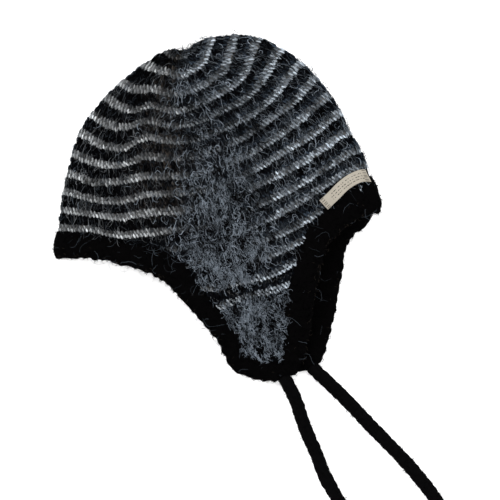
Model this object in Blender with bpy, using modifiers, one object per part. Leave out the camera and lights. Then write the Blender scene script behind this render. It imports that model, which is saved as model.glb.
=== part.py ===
"""A chullo: a knitted wool hat with two ear flaps and two ties, lying on its side.

The hat lies flat on the plane z = 0, as a soft hat does when it is put down. +Y points from the
ties to the crown's tip, +X to the front of the hat, and +Z up. One layer of the hat lies on the
plane, the other is mounded over the hollow, and the two meet in a round fold at back and front.
Tables are in millimetres, and every mesh is made in metres.
"""

from collections import namedtuple
from math import atan, cos, pi, radians, sin

import bpy
import numpy as np

MM = 0.001

# Walls and gaps
KNIT = 4.0
BAND = 8.6
GAP = 0.5
RIM_CLEARANCE = 1.4
TIE = 10.8
LABEL_START_X = 84.0
LABEL_END_X = 120.0
LABEL_WIDTH = 11.0
LABEL_THICKNESS = 1.0
LABEL_OVER_BAND = -0.1
LABEL_OVER_KNIT = 0.5

# The bag: half the height of a fold, and how the upper layer mounds between the folds
KNIT_FOLD = 9.5
BAND_FOLD = 8.4
RIM_RISE = 16.0
RIM_BACK_X = -126.5
RIM_FRONT_X = 122.5
MOUND_POWER = 2.3
SAG_POWER = 0.75

# Ear flaps: where they leave the rim, how far they run and how high the upper one ends
ROOT_Y = -41.0
FLAP_END_Y = -132.0
FLAP_END_Z = 13.2
ROOT_BACK = 3.2
ROOT_FRONT = 10.75
ROOT_BOW = 5.0
FLAP_CORNER = 0.78

# How finely each surface is divided
TOP_STEPS = 22
FOLD_STEPS = 5
ROWS_PER_SECTION = 2
RIM_SHARES = (0.25, 0.5, 0.75, 0.94, 1.0)
BAND_STEPS = 5
BAND_SIDES = 10
BAND_FULLNESS = 0.8
FLAP_STEPS = 10
LABEL_STEPS = 14
TIE_POINTS = 44
TIE_BEVEL = 2
KNOT_SEGMENTS = 12
KNOT_RINGS = 8
FINE_STEPS = 24

# Rounds of the crown from the tip down: where each meets the back and the front fold, how far it
# sags between them, how much the upper layer rises, and the radius of its folds
Round = namedtuple("Round", "back_x back_y front_x front_y sag rise fold")
CROWN = (
    Round(-28.5, 121.5, -19.5, 122.5, 1.0, 0.5, 3.6),
    Round(-40.0, 124.5, -14.0, 131.0, 7.0, 3.0, 6.8),
    Round(-57.0, 113.0, -3.0, 134.5, 17.0, 11.0, 9.2),
    Round(-76.0, 98.5, 15.0, 136.5, 28.0, 20.0, KNIT_FOLD),
    Round(-88.5, 86.5, 33.0, 134.0, 32.0, 26.0, KNIT_FOLD),
    Round(-108.5, 58.5, 67.0, 114.0, 32.0, 32.0, KNIT_FOLD),
    Round(-118.0, 26.5, 89.5, 88.5, 28.0, 33.0, KNIT_FOLD),
    Round(-123.5, -2.5, 105.0, 59.0, 25.5, 28.0, KNIT_FOLD),
    Round(-125.5, -9.0, 115.5, 38.5, 24.0, 23.0, KNIT_FOLD),
)

# The edge band on the upper layer from the back fold to the front fold: its middle, its width,
# and how far the same place on the under layer lies from it
Edge = namedtuple("Edge", "x y width under_x under_y")
EDGE = (
    Edge(-127.0, -32.0, 19.0, 0.0, 0.0),
    Edge(-97.5, -33.0, 18.5, 4.0, 3.0),
    Edge(-69.0, -37.5, 21.5, 8.0, 4.0),
    Edge(-39.0, -47.0, 25.0, 13.0, 5.5),
    Edge(-16.0, -73.5, 21.0, 17.5, 6.5),
    Edge(5.5, -101.0, 19.0, 17.5, 6.5),
    Edge(18.5, -124.0, 16.5, 17.5, 6.5),
    Edge(40.0, -132.5, 13.6, 17.5, 6.5),
    Edge(59.0, -127.0, 14.5, 17.5, 6.5),
    Edge(65.5, -98.5, 18.5, 18.5, 6.5),
    Edge(68.0, -66.5, 21.0, 19.5, 6.5),
    Edge(79.0, -27.0, 21.5, 16.0, 1.0),
    Edge(102.5, -2.5, 22.5, 9.0, -4.5),
    Edge(127.0, 6.5, 24.0, 0.0, 0.0),
)
BACK_HEADING = 0.0
FRONT_HEADING = 12.0
FOLD_TURNS = (90.0, 45.0, 0.0, -45.0, -90.0)

# The ties' routes, from the band to the knot
TIE_TOP_ROUTE = (
    (55.0, -138.2, 13.2), (57.2, -142.6, 12.4), (61.2, -150.5, 10.4), (64.6, -159.0, 8.0),
    (67.4, -168.0, 6.2), (70.4, -176.5, 5.5), (74.0, -185.0, 5.4), (79.8, -198.5, 5.4),
    (86.0, -214.5, 5.4), (94.8, -230.5, 5.4), (105.0, -246.5, 5.4), (117.0, -261.5, 5.4),
    (131.0, -274.5, 5.4), (146.5, -284.5, 5.4),
)
TIE_UNDER_ROUTE = (
    (77.7, -129.6, 5.4), (83.2, -134.9, 5.4), (91.2, -142.4, 5.4), (99.4, -150.4, 5.4),
    (107.2, -158.4, 5.4), (114.8, -166.4, 5.4), (122.2, -174.4, 5.4), (130.2, -182.4, 5.4),
    (138.0, -190.4, 5.4), (145.8, -198.4, 5.4), (153.2, -206.4, 5.4), (160.0, -214.4, 5.4),
    (166.6, -222.4, 5.4), (173.0, -231.0, 5.4), (183.0, -246.0, 5.4), (191.5, -261.5, 5.4),
)
KNOT_DIAMETER = 17.0
KNOT_LENGTH = 19.0

# Materials: colour and roughness of each kind of yarn
GREY_WOOL = (0.12, 0.13, 0.145)
DARK_WOOL = (0.012, 0.012, 0.013)
CREAM_TAPE = (0.52, 0.46, 0.37)
WOOL_ROUGHNESS = 0.95
TAPE_ROUGHNESS = 0.8


def clear_scene():
    """Remove every object that the file starts with."""
    for item in list(bpy.data.objects):
        bpy.data.objects.remove(item, do_unlink=True)


def new_collection(name):
    """Make a collection in the scene for the hat's pieces."""
    group = bpy.data.collections.new(name)
    bpy.context.scene.collection.children.link(group)
    return group


def wool(name, colour, roughness):
    """Make a plain material of one colour."""
    material = bpy.data.materials.new(name)
    material.use_nodes = True
    shader = material.node_tree.nodes["Principled BSDF"]
    shader.inputs["Base Color"].default_value = (*colour, 1.0)
    shader.inputs["Roughness"].default_value = roughness
    shader.inputs["Metallic"].default_value = 0.0
    return material


def smooth_curve(points, steps, closed=False):
    """Carry a smooth curve through rows of numbers, with a number of steps between each two.

    Each tangent is parallel to the line between its two neighbours, and a cubic runs between
    each two rows. The first three columns are the place in space.
    """
    rows = np.asarray(points, float)
    if closed:
        rows = np.vstack([rows[-1:], rows, rows[:2]])
    lengths = np.linalg.norm(np.diff(rows[:, :3], axis=0), axis=1)[:, None]
    slopes = np.diff(rows, axis=0) / lengths
    inner = (rows[2:] - rows[:-2]) / (lengths[1:] + lengths[:-1])
    if closed:
        rows, lengths, starts, ends = rows[1:-1], lengths[1:-1], inner[:-1], inner[1:]
    else:
        tangents = np.vstack([2 * slopes[:1] - inner[:1], inner, 2 * slopes[-1:] - inner[-1:]])
        starts, ends = tangents[:-1], tangents[1:]
    t = np.arange(steps)[None, :, None] / steps
    a, b = rows[:-1, None], rows[1:, None]
    span = lengths[:, None]
    curve = (
        a * (1 + 2 * t) * (1 - t) ** 2
        + b * t**2 * (3 - 2 * t)
        + starts[:, None] * span * t * (1 - t) ** 2
        - ends[:, None] * span * t**2 * (1 - t)
    )
    curve = curve.reshape(-1, rows.shape[1])
    return curve if closed else np.vstack([curve, rows[-1:]])


def even_points(points, count):
    """Space a number of points evenly along a curve."""
    curve = smooth_curve(points, FINE_STEPS)
    walked = np.concatenate([[0], np.cumsum(np.linalg.norm(np.diff(curve, axis=0), axis=1))])
    at = np.linspace(0, walked[-1], count)
    return np.column_stack([np.interp(at, walked, column) for column in curve.T])


def mound(share):
    """The upper layer's rise over a row, from 0 at its ends (-1 and 1) to 1 in its middle."""
    return 1 - np.minimum(np.abs(share), 1) ** MOUND_POWER


def section(half, fold, rise):
    """One round of the bag seen along its row.

    From the back: the upper layer, the front fold turning down, the under layer and the back
    fold turning up. Returns the distance along the row from its middle, and the height.
    """
    reach = half - fold
    lean = atan(MOUND_POWER * rise / max(reach, fold))
    edge = reach + fold * sin(lean)
    turn = np.linspace(pi / 2 - lean, -pi / 2, FOLD_STEPS + 1)
    share = np.linspace(-1, 1, TOP_STEPS + 1)[1:-1]
    upper = np.column_stack([edge * share, fold * cos(lean) + rise * mound(share)])
    front = np.column_stack([reach + fold * np.cos(turn), fold * np.sin(turn)])
    under = np.column_stack([-reach * share, np.full_like(share, -fold)])
    back = np.column_stack([-front[::-1, 0], front[::-1, 1]])
    return np.vstack([upper, front, under, back])


def band_path():
    """The band's middle line round the whole rim: place, width and outward normal.

    It runs over the upper layer from back to front, down round the front fold, and back over the
    under layer.
    """
    back, front = EDGE[0], EDGE[-1]
    middle = BAND / 2 + BAND_FOLD
    rows = []

    def fold_rows(edge, heading, sign, turns):
        """Places round a fold, whose outermost point is the table's."""
        out = np.array([sign * cos(radians(heading)), sign * sin(radians(heading))])
        for turn in turns:
            lean = radians(turn)
            place = np.array([edge.x, edge.y]) - out * BAND_FOLD * (1 - cos(lean))
            height = middle + BAND_FOLD * sin(lean)
            rows.append([*place, height, edge.width, *(out * cos(lean)), sin(lean)])

    fold_rows(back, BACK_HEADING, -1, FOLD_TURNS[::-1])
    for edge in EDGE[1:-1]:
        rows.append([edge.x, edge.y, upper_height(edge.x, edge.y), edge.width, 0, 0, 1])
    fold_rows(front, FRONT_HEADING, 1, FOLD_TURNS)
    for edge in EDGE[-2:0:-1]:
        place = (edge.x + edge.under_x, edge.y + edge.under_y)
        rows.append([*place, BAND / 2, edge.width, 0, 0, -1])
    path = smooth_curve(rows, BAND_STEPS, closed=True)
    path[:, 2] = np.maximum(path[:, 2], BAND / 2)
    return path


def upper_height(x, y):
    """Height of the upper layer's middle at and below the rim.

    Along the rim it is the mound of the rim's round. Down the flap it eases to the height at
    which the upper flap lies on the under one.
    """
    half = (EDGE[-1].x - EDGE[0].x) / 2 - BAND_FOLD
    share = (x - (EDGE[-1].x + EDGE[0].x) / 2) / half
    rim = BAND / 2 + 2 * BAND_FOLD + RIM_RISE * mound(share)
    down = np.clip((ROOT_Y - y) / (ROOT_Y - FLAP_END_Y), 0, 1)
    ease = down**2 * (3 - 2 * down)
    return rim + (FLAP_END_Z - rim) * ease


def band_frames(path):
    """At each place of the band: its direction, the way outwards in the cloth, and the normal."""
    ahead = np.roll(path[:, :3], -1, axis=0) - np.roll(path[:, :3], 1, axis=0)
    ahead /= np.linalg.norm(ahead, axis=1)[:, None]
    outward = np.cross(ahead, path[:, 4:7])
    outward /= np.linalg.norm(outward, axis=1)[:, None]
    normal = np.cross(outward, ahead)
    return ahead, outward, normal


def inner_edge(path, first, last):
    """Places beside the band's inner edge, a gap away from it, between two samples."""
    outward = band_frames(path)[1]
    line = path[:, :3] - outward * (path[:, 3:4] / 2 + GAP)
    return line.take(range(first, last + 1), axis=0, mode="wrap")


def sample_of(row, under=False):
    """The band's sample at a row of EDGE, which may be between two rows."""
    folds = len(FOLD_TURNS)
    between = len(EDGE) - 2
    place = folds + row - 1
    if under:
        place = 2 * folds + 2 * between - row
    return round(place * BAND_STEPS)


def root_line(start, end, share):
    """The slightly bowed line on which a flap meets the last full round of the crown."""
    share = share[:, None]
    line = start[:2] + (end[:2] - start[:2]) * share
    line[:, 1] -= ROOT_BOW * 4 * (share * (1 - share))[:, 0]
    return line


def flap_ends(path, under):
    """The samples where a flap's edge starts at the back and ends at the front."""
    ends = sample_of(ROOT_BACK, under), sample_of(ROOT_FRONT, under)
    return tuple(sorted(ends))


def rim_line(path, under):
    """The crown's rim seen from above, from back to front: x rising, and y."""
    first, last = flap_ends(path, under)
    start = sample_of(1, under)
    end = sample_of(len(EDGE) - 2, under)
    low, high = sorted((start, end))
    margin = (len(FOLD_TURNS) // 2 + 1) * BAND_STEPS
    before = inner_edge(path, low - margin, first)
    after = inner_edge(path, last, high + margin)
    root = root_line(before[-1], after[0], np.linspace(0, 1, FLAP_STEPS + 1))
    root[1:-1, 1] -= RIM_CLEARANCE
    line = np.vstack([before[:-1, :2], root, after[1:, :2]])
    return line[np.argsort(line[:, 0])]


def crown_rounds():
    """Rounds of the crown's middle surface, from the tip to the rim, as places in space."""
    table = np.array(CROWN, float)
    spaced = np.column_stack([table[:, 0], table[:, 1], table[:, 5], table])
    rounds = smooth_curve(spaced, ROWS_PER_SECTION)[:, 3:]
    return [crown_round(Round(*row)) for row in rounds]


def crown_round(row):
    """One round in space: its section carried along its sagging row."""
    half = (row.front_x - row.back_x) / 2
    along, height = section(half, row.fold, row.rise).T
    share = np.clip((along / half + 1) / 2, 0, 1)
    x = row.back_x + (row.front_x - row.back_x) * share
    y = row.back_y + (row.front_y - row.back_y) * share
    y -= row.sag * (4 * share * (1 - share)) ** SAG_POWER
    return np.column_stack([x, y, height + KNIT / 2 + KNIT_FOLD])


def rim_round(path):
    """The crown's last round, which follows the band and crosses the roots of the flaps."""
    half = (RIM_FRONT_X - RIM_BACK_X) / 2
    along, height = section(half, KNIT_FOLD, RIM_RISE).T
    x = along + (RIM_FRONT_X + RIM_BACK_X) / 2
    upper, under = (np.interp(x, *rim_line(path, below).T) for below in (False, True))
    lift = np.clip(height / KNIT_FOLD, -1, 1) / 2 + 0.5
    y = under + (upper - under) * lift + RIM_CLEARANCE
    return np.column_stack([x, y, height + KNIT / 2 + KNIT_FOLD])


def new_object(name, mesh, material, group):
    """Add a mesh to the hat's collection with its material, shaded smooth."""
    item = bpy.data.objects.new(name, mesh)
    mesh.materials.append(material)
    mesh.shade_smooth()
    group.objects.link(item)
    return item


def grid_mesh(name, rounds, closed=False, looped=False, pole=None):
    """Loft quads between rows of places.

    Closed joins the ends of each row, looped joins the last row to the first, and a pole is one
    more place on which the first row closes.
    """
    rows, columns = len(rounds), len(rounds[0])
    number = np.arange(rows * columns).reshape(rows, columns)
    if closed:
        number = np.column_stack([number, number[:, 0]])
    if looped:
        number = np.vstack([number, number[:1]])
    corners = (number[:-1, :-1], number[:-1, 1:], number[1:, 1:], number[1:, :-1])
    faces = np.stack(corners, axis=-1).reshape(-1, 4).tolist()
    places = np.vstack(rounds)
    if pole is not None:
        places = np.vstack([places, pole])
        last = len(places) - 1
        faces += [(last, b, a) for a, b in zip(number[0, :-1].tolist(), number[0, 1:].tolist())]
    mesh = bpy.data.meshes.new(name)
    mesh.from_pydata((places * MM).tolist(), [], faces)
    mesh.update()
    return mesh


def thicken(item, thickness):
    """Give an open surface its wall, half on either side."""
    wall = item.modifiers.new("wall", "SOLIDIFY")
    wall.thickness = thickness * MM
    wall.offset = 0.0
    wall.use_even_offset = True
    return item


def make_crown(path, material, group):
    """The crown: a hollow knitted bag, open at the rim."""
    rounds = crown_rounds()
    last, rim = rounds[-1], rim_round(path)
    for share in RIM_SHARES:
        ring = last + (rim - last) * share
        level = min(share / RIM_SHARES[-2], 1.0)
        ring[:, 2] = last[:, 2] + (rim[:, 2] - last[:, 2]) * level
        rounds.append(ring)
    pole = rounds[0].mean(axis=0)
    mesh = grid_mesh("crown", rounds, closed=True, pole=pole)
    return thicken(new_object("crown", mesh, material, group), KNIT)


def make_flap(name, path, under, material, group):
    """One ear flap: a knitted panel spread between the root line and the band's inner edge."""
    first, last = flap_ends(path, under)
    edge = inner_edge(path, first, last)[:, :2]
    corner = round(FLAP_CORNER * len(edge) / 2)
    share = np.linspace(0, 1, FLAP_STEPS + 1)
    top = root_line(edge[0], edge[-1], share) - [0, GAP]
    top[[0, -1]] = edge[[0, -1]] - [0, GAP]

    def stretch(line):
        """The same line with one more place than there are steps."""
        walked = np.linspace(0, 1, len(line))
        return np.column_stack([np.interp(share, walked, column) for column in line.T])

    back, front = stretch(edge[: corner + 1]), stretch(edge[: -corner - 2 : -1])
    bottom = stretch(edge[corner : len(edge) - corner])
    back[0], front[0] = top[0], top[-1]
    u, v = share[None, :, None], share[:, None, None]
    sheet = (1 - v) * top[None] + v * bottom[None] + (1 - u) * back[:, None] + u * front[:, None]
    sheet -= (1 - u) * ((1 - v) * top[0] + v * bottom[0]) + u * ((1 - v) * top[-1] + v * bottom[-1])
    height = np.full(sheet.shape[:2], KNIT / 2)
    if not under:
        height = upper_height(sheet[..., 0], sheet[..., 1])
    rounds = list(np.dstack([sheet, height]))
    mesh = grid_mesh(name, rounds)
    return thicken(new_object(name, mesh, material, group), KNIT)


def make_band(path, material, group):
    """The thick edging: a rounded profile carried once round the rim and both flaps."""
    outward, normal = band_frames(path)[1:]
    turn = pi / 2 - np.arange(BAND_SIDES) * 2 * pi / BAND_SIDES
    waves = np.array([np.cos(turn), np.sin(turn)])
    across, through = np.sign(waves) * np.abs(waves) ** BAND_FULLNESS
    rings = (
        path[:, None, :3]
        + outward[:, None] * (across[None, :, None] * path[:, None, 3:4] / 2)
        + normal[:, None] * (through[None, :, None] * BAND / 2)
    )
    mesh = grid_mesh("edge_band", list(rings), closed=True, looped=True)
    return new_object("edge_band", mesh, material, group)


def make_tie(name, route, material, group):
    """One tie: a round cord through its route, cut square at both ends."""
    places = even_points(route, TIE_POINTS)
    curve = bpy.data.curves.new(name, "CURVE")
    curve.dimensions = "3D"
    curve.bevel_depth = TIE / 2 * MM
    curve.bevel_resolution = TIE_BEVEL
    curve.use_fill_caps = True
    line = curve.splines.new("POLY")
    line.points.add(len(places) - 1)
    for point, place in zip(line.points, places):
        point.co = (*(place * MM), 1.0)
    item = bpy.data.objects.new(name, curve)
    curve.materials.append(material)
    group.objects.link(item)
    return item


def make_knot(name, route, material, group):
    """The plain knot on a tie's free end: a rounded lump in line with the tie."""
    places = even_points(route, TIE_POINTS)
    ahead = places[-1] - places[-2]
    ahead /= np.linalg.norm(ahead)
    centre = places[-1] + ahead * (KNOT_LENGTH / 2 + GAP)
    bpy.ops.mesh.primitive_uv_sphere_add(
        segments=KNOT_SEGMENTS, ring_count=KNOT_RINGS, radius=0.5
    )
    item = bpy.context.active_object
    item.name = name
    item.scale = (KNOT_LENGTH * MM, KNOT_DIAMETER * MM, KNOT_DIAMETER * MM)
    item.rotation_euler = (0.0, 0.0, float(np.arctan2(ahead[1], ahead[0])))
    item.location = (centre[0] * MM, centre[1] * MM, KNOT_DIAMETER / 2 * MM)
    item.data.materials.append(material)
    item.data.shade_smooth()
    for other in list(item.users_collection):
        other.objects.unlink(item)
    group.objects.link(item)
    return item


def make_label(path, material, group):
    """The woven tape sewn where the crown meets the band, from the front fold backwards."""
    line = rim_line(path, False)
    x = np.linspace(LABEL_START_X, LABEL_END_X, LABEL_STEPS)
    middle = np.column_stack([x, np.interp(x, *line.T)])
    ahead = np.gradient(middle, axis=0)
    ahead /= np.linalg.norm(ahead, axis=1)[:, None]
    inward = np.column_stack([-ahead[:, 1], ahead[:, 0]])
    rounds = []
    for side, lift in ((-1, BAND / 2 + LABEL_OVER_BAND), (1, KNIT / 2 + LABEL_OVER_KNIT)):
        place = middle + inward * side * LABEL_WIDTH / 2
        height = upper_height(place[:, 0], np.maximum(place[:, 1], ROOT_Y))
        rounds.append(np.column_stack([place, height + lift]))
    mesh = grid_mesh("label", rounds)
    return thicken(new_object("label", mesh, material, group), LABEL_THICKNESS)


def build():
    """Make every piece of the hat."""
    clear_scene()
    group = new_collection("chullo")
    grey = wool("striped wool", GREY_WOOL, WOOL_ROUGHNESS)
    flap_grey = wool("flap wool", GREY_WOOL, WOOL_ROUGHNESS)
    dark = wool("edging wool", DARK_WOOL, WOOL_ROUGHNESS)
    cord = wool("tie wool", DARK_WOOL, WOOL_ROUGHNESS)
    tape = wool("woven tape", CREAM_TAPE, TAPE_ROUGHNESS)
    path = band_path()
    make_crown(path, grey, group)
    make_flap("ear_flap_top", path, False, flap_grey, group)
    make_flap("ear_flap_under", path, True, flap_grey, group)
    make_band(path, dark, group)
    make_label(path, tape, group)
    make_tie("tie_top", TIE_TOP_ROUTE, cord, group)
    make_tie("tie_under", TIE_UNDER_ROUTE, cord, group)
    make_knot("tie_knot_top", TIE_TOP_ROUTE, cord, group)
    make_knot("tie_knot_under", TIE_UNDER_ROUTE, cord, group)


build()
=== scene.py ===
"""The looks of a knitted chullo that lies on its side: striped brushed knit, felted edging and ties.

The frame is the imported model. Every size here is in metres; MM turns millimetres into metres.
The upper layer of the hat is one surface of two parameters: the ring, which counts the stripes
from the flap's end (-8) past the rim (0) to the tip (12), and the way along a ring from the back
fold to the front fold. Stitches, fuzz and the knitted walls all stand on that surface.
"""

import logging
from dataclasses import dataclass, field
from enum import Enum

import bpy
import numpy as np
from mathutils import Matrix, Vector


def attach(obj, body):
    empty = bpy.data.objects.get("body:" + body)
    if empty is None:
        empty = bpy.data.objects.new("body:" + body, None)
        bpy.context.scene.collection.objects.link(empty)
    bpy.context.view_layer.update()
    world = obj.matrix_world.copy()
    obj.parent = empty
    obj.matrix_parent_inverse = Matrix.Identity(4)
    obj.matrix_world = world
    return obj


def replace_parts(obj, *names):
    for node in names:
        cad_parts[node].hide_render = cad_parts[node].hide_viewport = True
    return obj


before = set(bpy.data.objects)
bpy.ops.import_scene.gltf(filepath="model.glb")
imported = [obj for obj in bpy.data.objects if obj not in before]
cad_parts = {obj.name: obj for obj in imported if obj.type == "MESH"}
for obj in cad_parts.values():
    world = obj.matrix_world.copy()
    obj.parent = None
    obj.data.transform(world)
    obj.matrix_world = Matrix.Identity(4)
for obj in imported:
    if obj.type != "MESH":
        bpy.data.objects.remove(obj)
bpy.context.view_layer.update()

MM = 0.001
BODY = "root"
BAKE_MAP = "OFBake"
TINT = "tint"
TINY = 1e-12
FAR = 0.3
UP = (0.0, 0.0, 1.0)
log = logging.getLogger("chullo")

Array = np.ndarray


def smooth_table(values: Array, place: Array) -> Array:
    """Read a table between its rows: a Catmull-Rom cubic through the four nearest rows.

    Args:
        values: The table, one row for each whole place.
        place: Where to read, in rows from the first, of any shape.

    Returns:
        The values there, with place's shape before the table's own columns.
    """
    last = len(values) - 1
    base = np.clip(np.floor(place), 0, last - 1).astype(int)
    t = np.clip(place - base, 0, 1)
    t = t.reshape(t.shape + (1,) * (values.ndim - 1))
    before, here, after, beyond = (values[np.clip(base + k, 0, last)] for k in (-1, 0, 1, 2))
    rise = (after - before) / 2
    fall = (beyond - here) / 2
    return (
        here * (1 + 2 * t) * (1 - t) ** 2
        + after * t**2 * (3 - 2 * t)
        + rise * t * (1 - t) ** 2
        - fall * t**2 * (1 - t)
    )


def unit(vectors: Array) -> Array:
    """The same vectors with length 1."""
    return vectors / np.maximum(np.linalg.norm(vectors, axis=-1, keepdims=True), TINY)


def upright(ahead: Array) -> tuple[Array, Array]:
    """Find the level way across a direction, and the way up that is square to both.

    Args:
        ahead: Directions of length 1.

    Returns:
        The ways across and the ways up.
    """
    across = unit(np.cross(ahead, UP))
    return across, np.cross(across, ahead)


def smoothstep(low: float, high: float, value: Array) -> Array:
    """Ease from 0 at low to 1 at high, flat at both ends."""
    t = np.clip((value - low) / (high - low), 0, 1)
    return t * t * (3 - 2 * t)


def even_line(points: Array, count: int, closed: bool = False) -> Array:
    """Space rows of numbers evenly along the smooth curve through them.

    Args:
        points: Rows whose first three columns are the place.
        count: How many rows to return.
        closed: Whether the curve runs back to its start.

    Returns:
        The new rows, which a closed curve doesn't end on its first one.
    """
    steps = 24
    rows = np.vstack([points[-2:], points, points[:3]]) if closed else points
    first = 2 if closed else 0
    segments = len(points) if closed else len(points) - 1
    fine = smooth_table(rows, first + np.arange(segments * steps + 1) / steps)
    walked = np.concatenate([[0], np.cumsum(np.linalg.norm(np.diff(fine[:, :3], axis=0), axis=1))])
    at = np.linspace(0, walked[-1], count + 1)[:-1] if closed else np.linspace(0, walked[-1], count)
    return np.column_stack([np.interp(at, walked, column) for column in fine.T])


def waves(places: Array, size: float, seed: int, octaves: int = 3) -> Array:
    """Soft random relief: a sum of sine waves that run in random directions.

    Args:
        places: Points, with x, y and z last.
        size: The longest wave.
        seed: Seed of the directions and phases.
        octaves: How many times the waves are halved in length and height.

    Returns:
        Numbers from about -1 to 1 with the points' shape.
    """
    count = 7
    crest = 1.6
    rng = np.random.default_rng(seed)
    total = np.zeros(places.shape[:-1])
    weight = 0.0
    for octave in range(octaves):
        directions = unit(rng.normal(size=(count, 3))) * (2 * np.pi * 2**octave / size)
        phases = rng.uniform(0, 2 * np.pi, count)
        total += np.sin(places @ directions.T + phases).sum(axis=-1) / 2**octave
        weight += np.sqrt(count / 2) / 2**octave
    return total / (crest * weight)


def inside(points: Array, outline: Array) -> Array:
    """Whether points lie in a closed outline: a ray from each crosses it an odd number of times.

    Args:
        points: Rows of x and y.
        outline: Corners of the outline in order.

    Returns:
        True for each point inside.
    """
    ahead = np.roll(outline, -1, axis=0)
    x, y = points[:, :1], points[:, 1:2]
    spans = (outline[:, 1] > y) != (ahead[:, 1] > y)
    rise = ahead[:, 1] - outline[:, 1]
    rise = np.where(rise == 0, TINY, rise)
    crossing = outline[:, 0] + (y - outline[:, 1]) * (ahead[:, 0] - outline[:, 0]) / rise
    return (spans & (x < crossing)).sum(axis=1) % 2 == 1


class Layer(Enum):
    """The two layers of the lying hat, and the two ties that belong to them."""

    TOP = "top"
    UNDER = "under"


class Yarn(Enum):
    """Linear colours of the wool and of the woven tape, and a near-black of painted shade for the wall
    between the stitches.
    """

    BLACK = (0.0012, 0.0012, 0.0014)
    # Near-black of painted shade, for the wall that shows between the stitches
    SOOT = (0.0025, 0.0025, 0.0029)
    GREY = (0.061, 0.073, 0.087)
    MIST = (0.134, 0.156, 0.183)
    WHITE = (0.480, 0.480, 0.470)
    BROWN = (0.050, 0.041, 0.033)
    CREAM = (0.410, 0.375, 0.315)

    @property
    def rgb(self) -> Array:
        """The colour as an array."""
        return np.array(self.value)


@dataclass(frozen=True)
class WoolFinish:
    """Brushed wool: a tint carried by the strands, broken up by fine fibre noise."""

    name: str
    fibre: float = 1.1 * MM
    patch: float = 7.0 * MM
    contrast: float = 0.55
    bump: float = 0.35 * MM
    bump_strength: float = 0.8
    roughness: float = 1.0
    specular: float = 0.0
    tint: tuple[float, float, float] | None = None

    def material(self) -> bpy.types.Material:
        """Build the finish: tint times fine noise times soft patches, with fibre bump.

        Returns:
            The material, which reads the tint attribute unless the finish has its own tint.
        """
        made = bpy.data.materials.new(self.name)
        made.use_nodes = True
        tree = made.node_tree
        shader = tree.nodes["Principled BSDF"]
        shader.inputs["Roughness"].default_value = self.roughness
        shader.inputs["Specular IOR Level"].default_value = self.specular
        place = tree.nodes.new("ShaderNodeTexCoord").outputs["Object"]
        fine = noise_node(tree, place, self.fibre, 3.0)
        patch = noise_node(tree, place, self.patch, 2.0)
        shade = math_node(tree, "MULTIPLY_ADD", fine, 2 * self.contrast, 1 - self.contrast)
        mottle = math_node(tree, "MULTIPLY_ADD", patch, self.contrast, 1 - self.contrast / 2)
        both = math_node(tree, "MULTIPLY", shade, mottle)
        scale = tree.nodes.new("ShaderNodeVectorMath")
        scale.operation = "SCALE"
        tree.links.new(both, scale.inputs["Scale"])
        if self.tint is None:
            source = tree.nodes.new("ShaderNodeAttribute")
            source.attribute_name = TINT
            tree.links.new(source.outputs["Color"], scale.inputs[0])
        else:
            scale.inputs[0].default_value = self.tint
        tree.links.new(scale.outputs["Vector"], shader.inputs["Base Color"])
        bump = tree.nodes.new("ShaderNodeBump")
        bump.inputs["Distance"].default_value = self.bump
        bump.inputs["Strength"].default_value = self.bump_strength
        tree.links.new(fine, bump.inputs["Height"])
        tree.links.new(bump.outputs["Normal"], shader.inputs["Normal"])
        return made


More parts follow.
